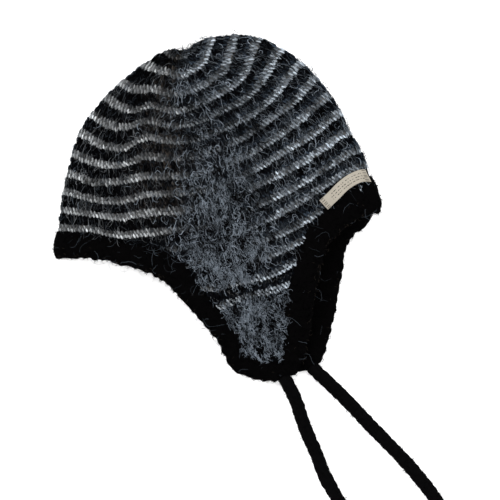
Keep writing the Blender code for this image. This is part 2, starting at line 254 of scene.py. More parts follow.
@dataclass(frozen=True)
class TapeFinish:
    """Woven tape: a fine over-and-under weave with three rows of short woven dashes."""

    name: str = "woven_tape"
    threads_across: float = 26.0
    threads_along: float = 84.0
    dash_count: float = 17.0
    dash_shift: float = 2.2
    dash_rows: tuple[float, ...] = (0.28, 0.50, 0.72)
    dash_half_height: float = 0.032
    dashes_middle: float = 0.56
    dashes_reach: float = 0.36
    roughness: float = 0.9
    specular: float = 0.15
    bump: float = 0.12 * MM
    bump_strength: float = 0.7

    def material(self) -> bpy.types.Material:
        """Build the finish on the tape's own map, u along the tape and v across it.

        The weave is a product of two sine waves. A dash shows where the fraction of u times the
        dash count, shifted by a noise, is under a half, v is within one of three narrow rows,
        and u is within reach of the dashes' middle.

        Returns:
            The material.
        """
        made = bpy.data.materials.new(self.name)
        made.use_nodes = True
        tree = made.node_tree
        shader = tree.nodes["Principled BSDF"]
        shader.inputs["Roughness"].default_value = self.roughness
        shader.inputs["Specular IOR Level"].default_value = self.specular
        source = tree.nodes.new("ShaderNodeUVMap")
        source.uv_map = BAKE_MAP
        split = tree.nodes.new("ShaderNodeSeparateXYZ")
        tree.links.new(source.outputs["UV"], split.inputs[0])
        along, across = split.outputs["X"], split.outputs["Y"]
        warp = math_node(tree, "SINE", math_node(tree, "MULTIPLY", along, self.threads_along * np.pi))
        weft = math_node(tree, "SINE", math_node(tree, "MULTIPLY", across, self.threads_across * np.pi))
        weave = math_node(tree, "MULTIPLY", warp, weft)
        place = tree.nodes.new("ShaderNodeTexCoord").outputs["Object"]
        stain = noise_node(tree, place, 9.0 * MM, 3.0)
        drift = noise_node(tree, place, 3.0 * MM, 1.0)
        beat = math_node(tree, "MULTIPLY", along, self.dash_count)
        beat = math_node(tree, "MULTIPLY_ADD", drift, self.dash_shift, beat)
        dash = math_node(tree, "LESS_THAN", math_node(tree, "FRACT", beat), 0.5)
        rows = None
        for middle in self.dash_rows:
            off = math_node(tree, "ABSOLUTE", math_node(tree, "SUBTRACT", across, middle))
            row = math_node(tree, "LESS_THAN", off, self.dash_half_height)
            rows = row if rows is None else math_node(tree, "MAXIMUM", rows, row)
        off = math_node(tree, "ABSOLUTE", math_node(tree, "SUBTRACT", along, self.dashes_middle))
        reached = math_node(tree, "LESS_THAN", off, self.dashes_reach)
        mark = math_node(tree, "MULTIPLY", math_node(tree, "MULTIPLY", dash, rows), reached)
        ground = mix_node(tree, stain, Yarn.CREAM.rgb * 0.78, Yarn.CREAM.rgb * 1.06)
        thread = math_node(tree, "MULTIPLY_ADD", weave, 0.10, 0.93)
        scale = tree.nodes.new("ShaderNodeVectorMath")
        scale.operation = "SCALE"
        tree.links.new(mix_node(tree, mark, ground, Yarn.BROWN.rgb), scale.inputs[0])
        tree.links.new(thread, scale.inputs["Scale"])
        tree.links.new(scale.outputs["Vector"], shader.inputs["Base Color"])
        bump = tree.nodes.new("ShaderNodeBump")
        bump.inputs["Distance"].default_value = self.bump
        bump.inputs["Strength"].default_value = self.bump_strength
        tree.links.new(weave, bump.inputs["Height"])
        tree.links.new(bump.outputs["Normal"], shader.inputs["Normal"])
        return made


@dataclass(frozen=True)
class FloorFinish:
    """Matt pale paper with a glow of its own."""

    name: str = "pale_paper"
    colour: tuple[float, float, float] = (0.93, 0.93, 0.93)
    glow: float = 0.45

    def material(self) -> bpy.types.Material:
        """Build the plain finish.

        Returns:
            The material.
        """
        made = bpy.data.materials.new(self.name)
        made.use_nodes = True
        shader = made.node_tree.nodes["Principled BSDF"]
        shader.inputs["Base Color"].default_value = (*self.colour, 1.0)
        shader.inputs["Roughness"].default_value = 1.0
        shader.inputs["Specular IOR Level"].default_value = 0.0
        shader.inputs["Emission Color"].default_value = (1.0, 1.0, 1.0, 1.0)
        shader.inputs["Emission Strength"].default_value = self.glow
        return made


def math_node(tree: bpy.types.NodeTree, operation: str, *values: object) -> bpy.types.NodeSocket:
    """Add a Math node.

    Args:
        tree: The material's nodes.
        operation: The node's operation.
        values: A socket or a number for each input.

    Returns:
        The node's output.
    """
    node = tree.nodes.new("ShaderNodeMath")
    node.operation = operation
    for socket, value in zip(node.inputs, values):
        if isinstance(value, bpy.types.NodeSocket):
            tree.links.new(value, socket)
        else:
            socket.default_value = float(value)
    return node.outputs[0]


def noise_node(
    tree: bpy.types.NodeTree, place: bpy.types.NodeSocket, size: float, detail: float
) -> bpy.types.NodeSocket:
    """Add noise whose largest lumps have a given size.

    Args:
        tree: The material's nodes.
        place: The coordinates to read.
        size: Size of a lump.
        detail: How many finer layers it has.

    Returns:
        The noise, from 0 to 1.
    """
    node = tree.nodes.new("ShaderNodeTexNoise")
    node.inputs["Scale"].default_value = 1 / size
    node.inputs["Detail"].default_value = detail
    tree.links.new(place, node.inputs["Vector"])
    return node.outputs["Fac"]


def mix_node(
    tree: bpy.types.NodeTree, share: bpy.types.NodeSocket, low: object, high: object
) -> bpy.types.NodeSocket:
    """Add a node that mixes two colours.

    Args:
        tree: The material's nodes.
        share: The share of the second colour.
        low: The first colour, or a socket that carries it.
        high: The second colour.

    Returns:
        The mixed colour.
    """
    node = tree.nodes.new("ShaderNodeMix")
    node.data_type = "RGBA"
    tree.links.new(share, node.inputs["Factor"])
    for name, value in (("A", low), ("B", high)):
        socket = next(s for s in node.inputs if s.name == name and s.type == "RGBA")
        if isinstance(value, bpy.types.NodeSocket):
            tree.links.new(value, socket)
        else:
            socket.default_value = (*value, 1.0)
    return next(s for s in node.outputs if s.type == "RGBA")


@dataclass
class Surface:
    """A mesh worked out as arrays, before it is put into Blender."""

    places: Array
    faces: Array
    tints: Array | None = None
    corner_map: Array | None = None

    def put(self, name: str, finish: bpy.types.Material, slot: str) -> bpy.types.Object:
        """Make the object, shaded smooth, and let it ride on the hat's body.

        Args:
            name: The piece's name.
            finish: Its material.
            slot: The record's material slot; not used.

        Returns:
            The object.
        """
        corners = self.faces.shape[1]
        mesh = bpy.data.meshes.new(name)
        mesh.vertices.add(len(self.places))
        mesh.vertices.foreach_set("co", self.places.astype(np.float32).ravel())
        mesh.loops.add(self.faces.size)
        mesh.loops.foreach_set("vertex_index", self.faces.astype(np.int32).ravel())
        mesh.polygons.add(len(self.faces))
        mesh.polygons.foreach_set("loop_start", np.arange(len(self.faces), dtype=np.int32) * corners)
        mesh.update(calc_edges=True)
        if self.tints is not None:
            layer = mesh.color_attributes.new(TINT, "FLOAT_COLOR", "POINT")
            rgba = np.column_stack([self.tints, np.ones(len(self.tints))])
            layer.data.foreach_set("color", rgba.astype(np.float32).ravel())
        if self.corner_map is not None:
            layer = mesh.uv_layers.new(name=BAKE_MAP)
            layer.data.foreach_set("uv", self.corner_map.astype(np.float32).ravel())
        mesh.shade_smooth()
        mesh.materials.append(finish)
        item = bpy.data.objects.new(name, mesh)
        bpy.context.scene.collection.objects.link(item)
        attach(item, BODY)
        triangles = len(self.faces) * (corners - 2)
        log.info("%s: %d triangles", name, triangles)
        return item


def grid_faces(rows: int, columns: int, closed: bool = False, looped: bool = False) -> Array:
    """Number the quads of a grid.

    Args:
        rows: Rows of places.
        columns: Places in each row.
        closed: Whether each row joins its own start.
        looped: Whether the last row joins the first.

    Returns:
        Quads, one row of four numbers for each.
    """
    number = np.arange(rows * columns).reshape(rows, columns)
    if closed:
        number = np.column_stack([number, number[:, 0]])
    if looped:
        number = np.vstack([number, number[:1]])
    quads = (number[:-1, :-1], number[:-1, 1:], number[1:, 1:], number[1:, :-1])
    return np.stack(quads, axis=-1).reshape(-1, 4)


def closed_tube(
    rings: Array, tints: Array | None = None, ends: tuple[bool, bool] = (True, True)
) -> Surface:
    """Join closed rings of places into one surface, and close its ends with a fan of triangles.

    Args:
        rings: Rings first, then the places round each.
        tints: Colour of each place, if it has any.
        ends: Whether the first and the last ring are closed, each to its own middle.

    Returns:
        The surface, in triangles.
    """
    count, sides = rings.shape[:2]
    quads = grid_faces(count, sides, closed=True)
    faces = [quads[:, [0, 1, 2]], quads[:, [0, 2, 3]]]
    places = [rings.reshape(-1, 3)]
    colours = [] if tints is None else [tints]
    here = np.arange(sides)
    following = (here + 1) % sides
    for end, (row, first, second) in zip(ends, ((0, following, here), (count - 1, here, following))):
        if end:
            pole = np.full(sides, sum(len(part) for part in places))
            faces.append(np.column_stack([row * sides + first, row * sides + second, pole]))
            places.append(rings[row].mean(axis=0)[None])
            if tints is not None:
                colours.append(tints[row * sides : row * sides + 1])
    return Surface(
        np.vstack(places), np.vstack(faces), np.vstack(colours) if colours else None
    )


def strands(paths: Array, normals: Array, radii: Array, sides: int, tints: Array) -> Surface:
    """Many short closed strands at once, each a round profile carried along its own path.

    A strand's first and last point are its tips. Round each point between them stands a ring:
    the point plus the radius times cos of the turn sideways and sin of the turn upwards.

    Args:
        paths: Points of each strand, strands first.
        normals: The way up at each strand.
        radii: Radius at each point between the tips, for each strand.
        sides: Corners of a ring.
        tints: Colour of each strand.

    Returns:
        The strands as one surface of triangles, with a cell of the bake map for each.
    """
    count, points = paths.shape[:2]
    rings = points - 2
    along = unit(paths[:, 2:] - paths[:, :-2])
    aside = unit(np.cross(along, normals[:, None]))
    above = np.cross(aside, along)
    turn = 2 * np.pi * np.arange(sides) / sides
    wheel = (
        aside[:, :, None] * np.cos(turn)[:, None] + above[:, :, None] * np.sin(turn)[:, None]
    ) * radii[:, :, None, None]
    body = (paths[:, 1:-1, None] + wheel).reshape(count, rings * sides, 3)
    places = np.concatenate([body, paths[:, :1], paths[:, -1:]], axis=1)
    here = np.arange(sides)
    following = (here + 1) % sides
    steps = np.arange(rings - 1)[:, None] * sides
    first = np.stack([steps + here, steps + sides + here, steps + sides + following], axis=-1)
    second = np.stack([steps + here, steps + sides + following, steps + following], axis=-1)
    last = (rings - 1) * sides
    start = np.column_stack([np.full(sides, rings * sides), here, following])
    end = np.column_stack([np.full(sides, rings * sides + 1), last + following, last + here])
    faces = np.concatenate([first.reshape(-1, 3), second.reshape(-1, 3), start, end])
    edge, ahead = here / sides, (here + 1) / sides
    low = (np.arange(rings - 1)[:, None] + 1) / (rings + 1) + 0 * edge
    high = low + 1 / (rings + 1)
    left, right = edge + 0 * low, ahead + 0 * low
    middle = (edge + ahead) / 2
    near, far = np.full(sides, 1 / (rings + 1)), np.full(sides, rings / (rings + 1))
    cell = np.concatenate([
        np.stack([low, left, high, left, high, right], axis=-1).reshape(-1, 3, 2),
        np.stack([low, left, high, right, low, right], axis=-1).reshape(-1, 3, 2),
        np.stack([0 * near, middle, near, edge, near, ahead], axis=-1).reshape(-1, 3, 2),
        np.stack([0 * far + 1, middle, far, ahead, far, edge], axis=-1).reshape(-1, 3, 2),
    ])
    wide = int(np.ceil(np.sqrt(count)))
    margin = 0.1
    corner = np.column_stack([np.arange(count) % wide, np.arange(count) // wide])
    corner_map = (corner[:, None, None] + margin + (1 - 2 * margin) * cell) / wide
    per_strand = rings * sides + 2
    offsets = np.arange(count)[:, None, None] * per_strand
    return Surface(
        places=places.reshape(-1, 3),
        faces=(faces + offsets).reshape(-1, 3),
        tints=np.repeat(tints, per_strand, axis=0),
        corner_map=corner_map.reshape(-1, 2),
    )


@dataclass
class HatForm:
    """The form of the lying hat: its rings, its rim and the line of its edging.

    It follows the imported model, with more rings, a tip a little fuller between its two lobes
    and an edging a little wider at the front of the flap and narrower at its back.
    """

    knit: float = 4.0 * MM
    band: float = 8.6 * MM
    knit_fold: float = 9.5 * MM
    band_fold: float = 8.4 * MM
    rim_rise: float = 16.0 * MM
    mound_power: float = 2.3
    root_y: float = -41.0 * MM
    flap_end_y: float = -132.0 * MM
    flap_end_z: float = 13.2 * MM
    top_ring: float = 12.0
    last_ring: float = -8.0
    # Each ring from 12 down to -8: x at the back and front fold, rise of the upper layer and
    # radius of the fold
    spans: Array = field(default_factory=lambda: MM * np.array([
        (-31.0, -17.0, 0.5, 3.6), (-40.5, -13.5, 3.0, 6.8), (-57.0, -3.0, 11.0, 9.2),
        (-76.0, 15.0, 20.0, 9.5), (-88.5, 33.0, 26.0, 9.5), (-99.5, 50.5, 30.0, 9.5),
        (-108.5, 67.0, 32.0, 9.5), (-114.0, 79.0, 33.0, 9.5), (-118.0, 89.5, 33.0, 9.5),
        (-121.3, 98.0, 31.0, 9.5), (-123.5, 105.0, 28.0, 9.5), (-125.3, 113.5, 23.5, 9.5),
        (-126.5, 118.2, 17.5, 9.5), (-126.5, 121.5, 16.0, 9.5), (-126.5, 122.0, 16.0, 9.5),
        (-126.5, 122.5, 16.0, 9.5), (-126.5, 122.5, 16.0, 9.5), (-126.5, 122.5, 16.0, 9.5),
        (-126.5, 122.5, 16.0, 9.5), (-126.5, 122.5, 16.0, 9.5), (-126.5, 122.5, 16.0, 9.5),
    ]))
    # How far each ring hangs below the line y = drop_from, in steps of drop_step, read at every
    # tenth of the way from the back fold to the front fold
    drop_from: float = 165.6 * MM
    drop_step: float = 0.8 * MM
    drops: Array = field(default_factory=lambda: np.array([
        (52.3, 51.8, 51.6, 51.5, 51.5, 51.4, 51.2, 50.7, 49.8, 48.5, 46.8),
        (52.4, 55.8, 57.6, 58.4, 58.4, 57.8, 56.6, 54.2, 51.6, 47.6, 42.6),
        (65.5, 69.5, 71.5, 73.0, 75.5, 77.0, 75.5, 71.0, 67.0, 55.0, 39.5),
        (83.9, 90.0, 91.0, 91.0, 94.5, 96.0, 92.0, 88.0, 80.0, 70.0, 36.6),
        (98.9, 107.5, 112.0, 106.5, 111.5, 112.5, 106.5, 98.5, 90.0, 77.0, 39.8),
        (115.1, 126.5, 127.5, 122.0, 127.0, 126.0, 120.0, 111.0, 102.0, 83.0, 50.1),
        (133.5, 145.5, 148.5, 138.5, 142.0, 141.5, 134.5, 124.5, 113.0, 91.0, 63.9),
        (154.5, 164.0, 165.5, 157.0, 159.0, 157.0, 149.0, 138.5, 121.5, 104.0, 78.9),
        (173.9, 182.5, 181.5, 176.5, 177.0, 174.0, 165.5, 153.5, 137.5, 117.5, 95.8),
        (192.0, 198.5, 201.5, 195.0, 193.5, 190.0, 181.5, 168.5, 151.5, 135.0, 113.3),
        (210.0, 214.0, 217.0, 212.5, 211.0, 207.5, 197.5, 182.5, 169.0, 151.0, 132.0),
        (228.0, 229.0, 235.0, 232.5, 229.5, 224.5, 214.0, 199.5, 185.0, 166.0, 150.1),
        (246.0, 246.0, 250.0, 250.5, 248.0, 243.0, 231.0, 216.5, 199.0, 179.0, 165.8),
        (264.0, 264.0, 268.0, 268.5, 265.0, 257.0, 246.0, 236.0, 220.0, 201.0, 183.0),
        (282.0, 282.0, 286.0, 286.5, 282.0, 274.0, 263.5, 252.5, 238.0, 220.0, 201.0),
        (300.0, 300.0, 301.0, 298.0, 291.5, 286.5, 280.5, 272.0, 254.0, 238.0, 219.0),
        (318.0, 318.0, 320.0, 322.0, 319.0, 309.0, 296.0, 288.5, 275.0, 257.0, 239.0),
        (336.0, 336.0, 338.0, 339.0, 336.0, 327.0, 315.0, 306.5, 293.0, 275.0, 257.0),
        (354.0, 354.0, 356.0, 357.0, 354.0, 345.0, 334.0, 325.0, 311.0, 293.0, 275.0),
        (372.0, 372.0, 374.0, 375.0, 372.0, 363.0, 353.0, 344.0, 330.0, 312.0, 294.0),
        (390.0, 390.0, 392.0, 393.0, 390.0, 381.0, 372.0, 363.0, 349.0, 331.0, 313.0),
    ]))
    # The edging on the upper layer from back to front: its middle, its width, and how far the
    # same place on the under layer lies from it
    edge: Array = field(default_factory=lambda: MM * np.array([
        (-127.0, -32.0, 19.0, 0.0, 0.0),
        (-97.5, -33.0, 18.5, 4.0, 3.0),
        (-69.0, -37.5, 21.5, 8.0, 4.0),
        (-39.0, -47.0, 25.0, 13.0, 5.5),
        (-15.8, -73.4, 20.5, 17.5, 6.5),
        (6.0, -100.6, 17.8, 17.5, 6.5),
        (18.5, -124.0, 16.5, 17.5, 6.5),
        (40.0, -132.5, 13.6, 17.5, 6.5),
        (59.0, -127.0, 14.5, 17.5, 6.5),
        (65.0, -98.5, 19.5, 18.5, 6.5),
        (67.3, -66.5, 24.5, 19.5, 6.5),
        (79.0, -27.0, 21.5, 16.0, 1.0),
        (102.5, -2.5, 22.5, 9.0, -4.5),
        (127.0, 6.5, 24.0, 0.0, 0.0),
    ]))
    # Degrees: the way each fold of the edging points, and the turns at which it is read
    headings: tuple[float, float] = (0.0, 12.0)
    fold_turns: tuple[float, ...] = (90.0, 45.0, 0.0, -45.0, -90.0)

    def mound(self, share: Array) -> Array:
        """Rise of the upper layer along a ring: 1 less the share to the mound's power."""
        return 1 - np.minimum(np.abs(share), 1) ** self.mound_power

    def upper_height(self, x: Array, y: Array) -> Array:
        """Height of the upper layer's middle at and below the rim.

        The rim's mound, which eases down the flap to the height of the flap's end.

        Args:
            x: Places across the hat.
            y: Places along it.

        Returns:
            The heights.
        """
        middle = (self.edge[0, 0] + self.edge[-1, 0]) / 2
        half = (self.edge[-1, 0] - self.edge[0, 0]) / 2 - self.band_fold
        rim = self.band / 2 + 2 * self.band_fold + self.rim_rise * self.mound((x - middle) / half)
        ease = smoothstep(0, 1, (self.root_y - y) / (self.root_y - self.flap_end_y))
        return rim + (self.flap_end_z - rim) * ease

    def ring_lines(self, ring: Array, layer: Layer, samples: int = 161) -> Array:
        """Lines along rings from the back fold's outermost point to the front fold's.

        Seen along the ring, the line is a quarter turn round the back fold, the mounded layer
        (or the flat one under it), and a quarter turn round the front fold. Seen from above, x
        grows evenly along the ring and y is read from the rings' table.

        Args:
            ring: Numbers of the rings.
            layer: The layer that the lines run over.
            samples: Points of each line.

        Returns:
            Places, with the rings first and the points of a line next.
        """
        under = layer is Layer.UNDER
        row = self.top_ring - np.asarray(ring, float)
        back, front, rise, fold = (column[:, None] for column in smooth_table(self.spans, row).T)
        half = (front - back) / 2
        reach = half - fold
        lean = 0 * fold if under else np.arctan(self.mound_power * rise / np.maximum(reach, fold))
        edge = reach + fold * np.sin(lean)
        quarter = samples // 8
        turn = np.linspace(0, 1, quarter, endpoint=False) * (np.pi / 2 - lean)
        share = np.linspace(-1, 1, samples - 2 * quarter)[None]
        flat = edge * share
        top = fold * np.cos(lean) + (0 if under else rise) * self.mound(share)
        side = reach + fold * np.cos(turn)
        lift = fold * np.sin(turn)
        along = np.concatenate([-side, flat, side[:, ::-1]], axis=1)
        height = np.concatenate([lift, top + 0 * flat, lift[:, ::-1]], axis=1)
        way = np.clip((along / half + 1) / 2, 0, 1)
        x = back + (front - back) * way
        drops = smooth_table(self.drops, row)
        drop = smooth_table(drops.T, way * (drops.shape[1] - 1))
        drop = np.take_along_axis(drop, np.arange(len(row))[:, None, None], axis=2)[..., 0]
        y = self.drop_from - self.drop_step * drop
        z = (-height if under else height) + self.knit / 2 + self.knit_fold
        if not under:
            low = smoothstep(0, 1, -np.asarray(ring, float))[:, None]
            z = z + (self.upper_height(x, y) - z) * low
        return np.stack([x, y, z], axis=-1)

    def band_rows(self) -> Array:
        """Places, width and outward normal along the edging's middle line, one closed round.

        Over the upper layer from back to front, round the front fold, over the under layer back
        and round the back fold. A fold is a circle's arc whose outermost point is the table's.

        Returns:
            Rows of x, y, z, width and the normal.
        """
        middle = self.band / 2 + self.band_fold
        turns = np.radians(self.fold_turns)

        def fold_rows(edge: Array, heading: float, sign: int, lean: Array) -> Array:
            """Work out the rows round one fold: an arc about a centre inside it.

            Args:
                edge: The table's row for the fold.
                heading: The way that the fold points, in degrees.
                sign: 1 for the front fold, -1 for the back fold.
                lean: Angles round the arc, from level.

            Returns:
                Rows of x, y, z, width and the normal.
            """
            out = sign * np.array([np.cos(np.radians(heading)), np.sin(np.radians(heading))])
            place = edge[:2] - out * self.band_fold * (1 - np.cos(lean))[:, None]
            height = middle + self.band_fold * np.sin(lean)
            width = np.full(len(lean), edge[2])
            return np.column_stack([place, height, width, out * np.cos(lean)[:, None], np.sin(lean)])

        inner = self.edge[1:-1]
        upper = np.zeros((len(inner), 7))
        upper[:, :2], upper[:, 3], upper[:, 6] = inner[:, :2], inner[:, 2], 1
        upper[:, 2] = self.upper_height(inner[:, 0], inner[:, 1])
        under = np.zeros((len(inner), 7))
        under[:, :2] = inner[:, :2] + inner[:, 3:5]
        under[:, 2], under[:, 3], under[:, 6] = self.band / 2, inner[:, 2], -1
        return np.vstack([
            fold_rows(self.edge[0], self.headings[0], -1, turns[::-1]),
            upper,
            fold_rows(self.edge[-1], self.headings[1], 1, turns),
            under[::-1],
        ])

    def band_path(self, count: int) -> Array:
        """The edging's middle line in evenly spaced rows, kept off the floor by half its height."""
        path = even_line(self.band_rows(), count, closed=True)
        path[:, 2] = np.maximum(path[:, 2], self.band / 2)
        return path

    def band_frames(self, path: Array) -> tuple[Array, Array, Array]:
        """Find the directions at each row of the edging.

        Args:
            path: Rows of x, y, z, width and the normal, closed round.

        Returns:
            The way along the edging, the way outwards in the cloth, and the normal.
        """
        ahead = unit(np.roll(path[:, :3], -1, axis=0) - np.roll(path[:, :3], 1, axis=0))
        outward = unit(np.cross(ahead, path[:, 4:7]))
        return ahead, outward, np.cross(outward, ahead)

    def knit_edge(self, layer: Layer, cover: float) -> Array:
        """Where the knit of a layer ends, seen from above, from the back to the front fold.

        Args:
            layer: The layer of the knit.
            cover: How far the edging lies over the knit.

        Returns:
            Rows of x and y.
        """
        path = self.band_path(900)
        outward = self.band_frames(path)[1]
        line = path[:, :3] - outward * (path[:, 3:4] / 2 - cover)
        past_level = 0.1
        facing = path[:, 6] < past_level if layer is Layer.UNDER else path[:, 6] > -past_level
        first = int(np.argmax(facing & ~np.roll(facing, 1)))
        line = np.roll(line, -first, axis=0)[: int(facing.sum())]
        line = line[::-1] if layer is Layer.UNDER else line
        return line[:, :2]

    def in_knit(self, places: Array, layer: Layer, cover: float) -> Array:
        """Whether places are within the knit of a layer, seen from above.

        The outline is the knit's edge, closed by two far corners beyond the tip.

        Args:
            places: Rows of x and y.
            layer: The layer of the knit.
            cover: How far the edging lies over the knit.

        Returns:
            True for each place within.
        """
        outline = np.vstack([self.knit_edge(layer, cover), [(FAR, FAR), (-FAR, FAR)]])
        return inside(places, outline)


class Region(Enum):
    """The knitted parts of the hat."""

    CROWN = "crown"
    FLAP = "flap"

    @property
    def slot(self) -> str:
        """The record's material slot for the part."""
        return "striped_wool" if self is Region.CROWN else "flap_wool"


@dataclass
class Stitches:
    """The stitches: where each is, its three directions, ring, way along the ring and size."""

    place: Array
    along: Array
    up: Array
    normal: Array
    ring: Array
    way: Array
    width: Array
    height: Array

    def pick(self, chosen: Array) -> "Stitches":
        """Only the chosen stitches, by mask or by number."""
        return Stitches(**{name: values[chosen] for name, values in self.__dict__.items()})

    def offset(self, aside: Array, climb: Array, stand: Array) -> Array:
        """Find places off each stitch: its own, plus a distance times each of its directions.

        Args:
            aside: Distances along the row of stitches, several for each stitch.
            climb: Distances up towards the tip.
            stand: Distances out of the cloth.

        Returns:
            The places, stitches first.
        """
        return (
            self.place[:, None]
            + self.along[:, None] * aside[..., None]
            + self.up[:, None] * climb[..., None]
            + self.normal[:, None] * stand[..., None]
        )


@dataclass
class StripedYarn:
    """The self-striping yarn: how its colour goes round the hat."""

    # Strength of the white in the stripe at each ring from 12 down to -8, read at every tenth of
    # the way from the back fold to the front fold
    top_ring: int = 12
    strengths: Array = field(default_factory=lambda: np.array([
        (0.2, 0.2, 0.2, 0.2, 0.2, 0.2, 0.2, 0.2, 0.2, 0.2, 0.2),
        (0.2, 0.2, 0.1, 0.1, 0.2, 0.2, 0.2, 0.1, 0.2, 0.2, 0.3),
        (0.7, 0.9, 1.2, 0.7, 0.3, 0.3, 1.2, 1.4, 0.8, 1.3, 0.9),
        (0.7, 0.9, 0.6, 0.7, 0.4, 0.4, 0.5, 1.0, 0.5, 1.0, 0.9),
        (0.6, 0.6, 0.6, 0.7, 0.6, 0.8, 0.4, 0.7, 0.6, 0.8, 0.9),
        (0.7, 0.8, 0.6, 0.5, 0.5, 0.7, 0.4, 0.4, 0.5, 0.9, 0.9),
        (0.7, 0.8, 0.7, 0.7, 0.5, 0.5, 0.5, 0.4, 0.6, 1.2, 0.8),
        (0.8, 0.9, 0.7, 0.7, 0.3, 0.5, 0.4, 0.4, 0.6, 0.9, 0.9),
        (1.1, 0.8, 0.6, 0.8, 0.4, 0.4, 0.3, 0.5, 0.8, 1.2, 0.8),
        (0.9, 0.7, 0.6, 0.9, 0.4, 0.4, 0.3, 0.7, 1.0, 1.2, 0.9),
        (0.8, 0.9, 0.9, 1.2, 0.5, 0.3, 0.3, 0.9, 1.2, 1.4, 1.1),
        (0.9, 0.9, 0.8, 0.7, 0.4, 0.3, 0.3, 0.8, 1.4, 1.1, 0.9),
        (0.8, 0.7, 0.2, 0.1, 0.1, 0.2, 0.3, 0.9, 0.9, 0.9, 0.9),
        (0.7, 0.6, 0.5, 0.4, 0.3, 0.2, 0.3, 0.8, 0.9, 0.8, 0.8),
        (0.0, 0.0, 0.0, 0.0, 0.0, 0.0, 0.2, 0.9, 0.7, 0.6, 0.5),
        (0.0, 0.0, 0.3, 0.5, 0.8, 0.8, 0.7, 1.1, 1.4, 1.0, 0.8),
        (0.0, 0.0, 0.3, 0.5, 0.9, 0.9, 1.1, 1.0, 0.9, 0.8, 0.8),
        (0.0, 0.0, 0.0, 0.0, 0.0, 0.0, 0.0, 0.0, 0.0, 0.0, 0.0),
        (0.0, 0.0, 0.0, 0.0, 0.0, 0.0, 0.0, 0.0, 0.0, 0.0, 0.0),
        (0.0, 0.0, 0.0, 0.0, 0.0, 0.0, 0.0, 0.0, 0.0, 0.0, 0.0),
        (0.0, 0.0, 0.0, 0.0, 0.0, 0.0, 0.0, 0.0, 0.0, 0.0, 0.0),
    ]))
    stripe_half: float = 0.15
    fade_middle: float = 0.55
    fade_back: float = 0.10
    fade_back_at_rim: float = 0.07
    fade_front: float = 0.105
    fade_power: float = 2.6
    black_ring: float = -3.5
    black_half: float = 0.33
    mottle_middle: float = 0.385
    mottle_half: float = 0.10

    def fade(self, ring: Array, way: Array) -> Array:
        """How far the stripes are lost in grey fuzz: most in the middle and on the flap's end.

        The patch is e to the minus a power of the distance from its middle over its half width.
        It reaches further back near the rim and weakens towards the tip. One black row of the
        flap stays clear of it.

        Args:
            ring: Ring numbers, with fractions.
            way: Way from the back fold to the front fold, from 0 to 1.

        Returns:
            Shares from 0 to 1.
        """
        back = self.fade_back + self.fade_back_at_rim * np.exp(-((ring / 1.6) ** 2))
        half = np.where(way < self.fade_middle, back, self.fade_front)
        strength = 1.0 - 0.10 * np.clip(ring - 0.5, 0, 7)
        patch = strength * np.exp(-((np.abs(way - self.fade_middle) / half) ** self.fade_power))
        black_row = np.exp(-(((ring - self.black_ring) / self.black_half) ** 4))
        end = smoothstep(-4.05, -4.4, ring)
        return np.maximum(patch * (1 - black_row), end)

    def mottle(self, ring: Array, way: Array) -> Array:
        """How far single stitches are brown-grey among black ones, behind the crown's middle."""
        middle = np.exp(-(((way - self.mottle_middle) / self.mottle_half) ** 2))
        return middle * smoothstep(0.5, 3.0, ring)

    def haze(self, ring: Array, way: Array) -> Array:
        """How grey the rows just above a white one are, which shows towards the front fold.

        Args:
            ring: Ring numbers, with fractions.
            way: Way from the back fold to the front fold, from 0 to 1.

        Returns:
            Shares from 0 to 1.
        """
        phase = ring - np.round(ring)
        row = np.exp(-(((phase - 0.34) / 0.14) ** 2))
        return row * smoothstep(0.50, 0.72, way) * smoothstep(-4.5, -2.0, ring)

    def white(self, ring: Array, way: Array) -> Array:
        """Share of white at a place: the stripe's strength in the two rows next to each ring.

        Args:
            ring: Ring numbers, with fractions.
            way: Way from the back fold to the front fold, from 0 to 1.

        Returns:
            Shares from 0 to about 1.
        """
        near = np.round(ring)
        row = np.clip(self.top_ring - near, 0, len(self.strengths) - 1).astype(int)
        at = np.clip(way, 0, 1) * (self.strengths.shape[1] - 1)
        left = np.clip(np.floor(at), 0, self.strengths.shape[1] - 2).astype(int)
        share = at - left
        strength = self.strengths[row, left] * (1 - share) + self.strengths[row, left + 1] * share
        return strength * (np.abs(ring - near) < self.stripe_half)

    def colours(self, stitches: Stitches, rng: np.random.Generator) -> Array:
        """Colour of each stitch.

        Black; white by its share, uneven along the row; grey haze above a white row at the
        front and where the stripes fade; a painted sheen of grey on steep cloth; brown behind the
        crown's middle; and the whole warmer at the back and bluer at the front.

        Args:
            stitches: The stitches.
            rng: The source of chance.

        Returns:
            Linear colours, a row for each stitch.
        """
        ring, way = stitches.ring, stitches.way
        count = len(ring)
        fade, mottle = self.fade(ring, way), self.mottle(ring, way)
        # White: the upper of a stripe's two rows is weaker, and single stitches drop out
        uneven = 0.80 + 0.60 * waves(stitches.place, 20 * MM, 3)
        upper = ring > np.round(ring)
        uneven = uneven * np.where(upper, 0.60 + 0.35 * waves(stitches.place, 11 * MM, 6), 1.20)
        white = self.white(ring, way) * uneven * rng.uniform(0.60, 1.30, count) * (1 - 0.30 * mottle)
        dropped = rng.uniform(size=count) < np.where(upper, 0.22, 0.08)
        white = np.where(dropped, white * 0.35, white)
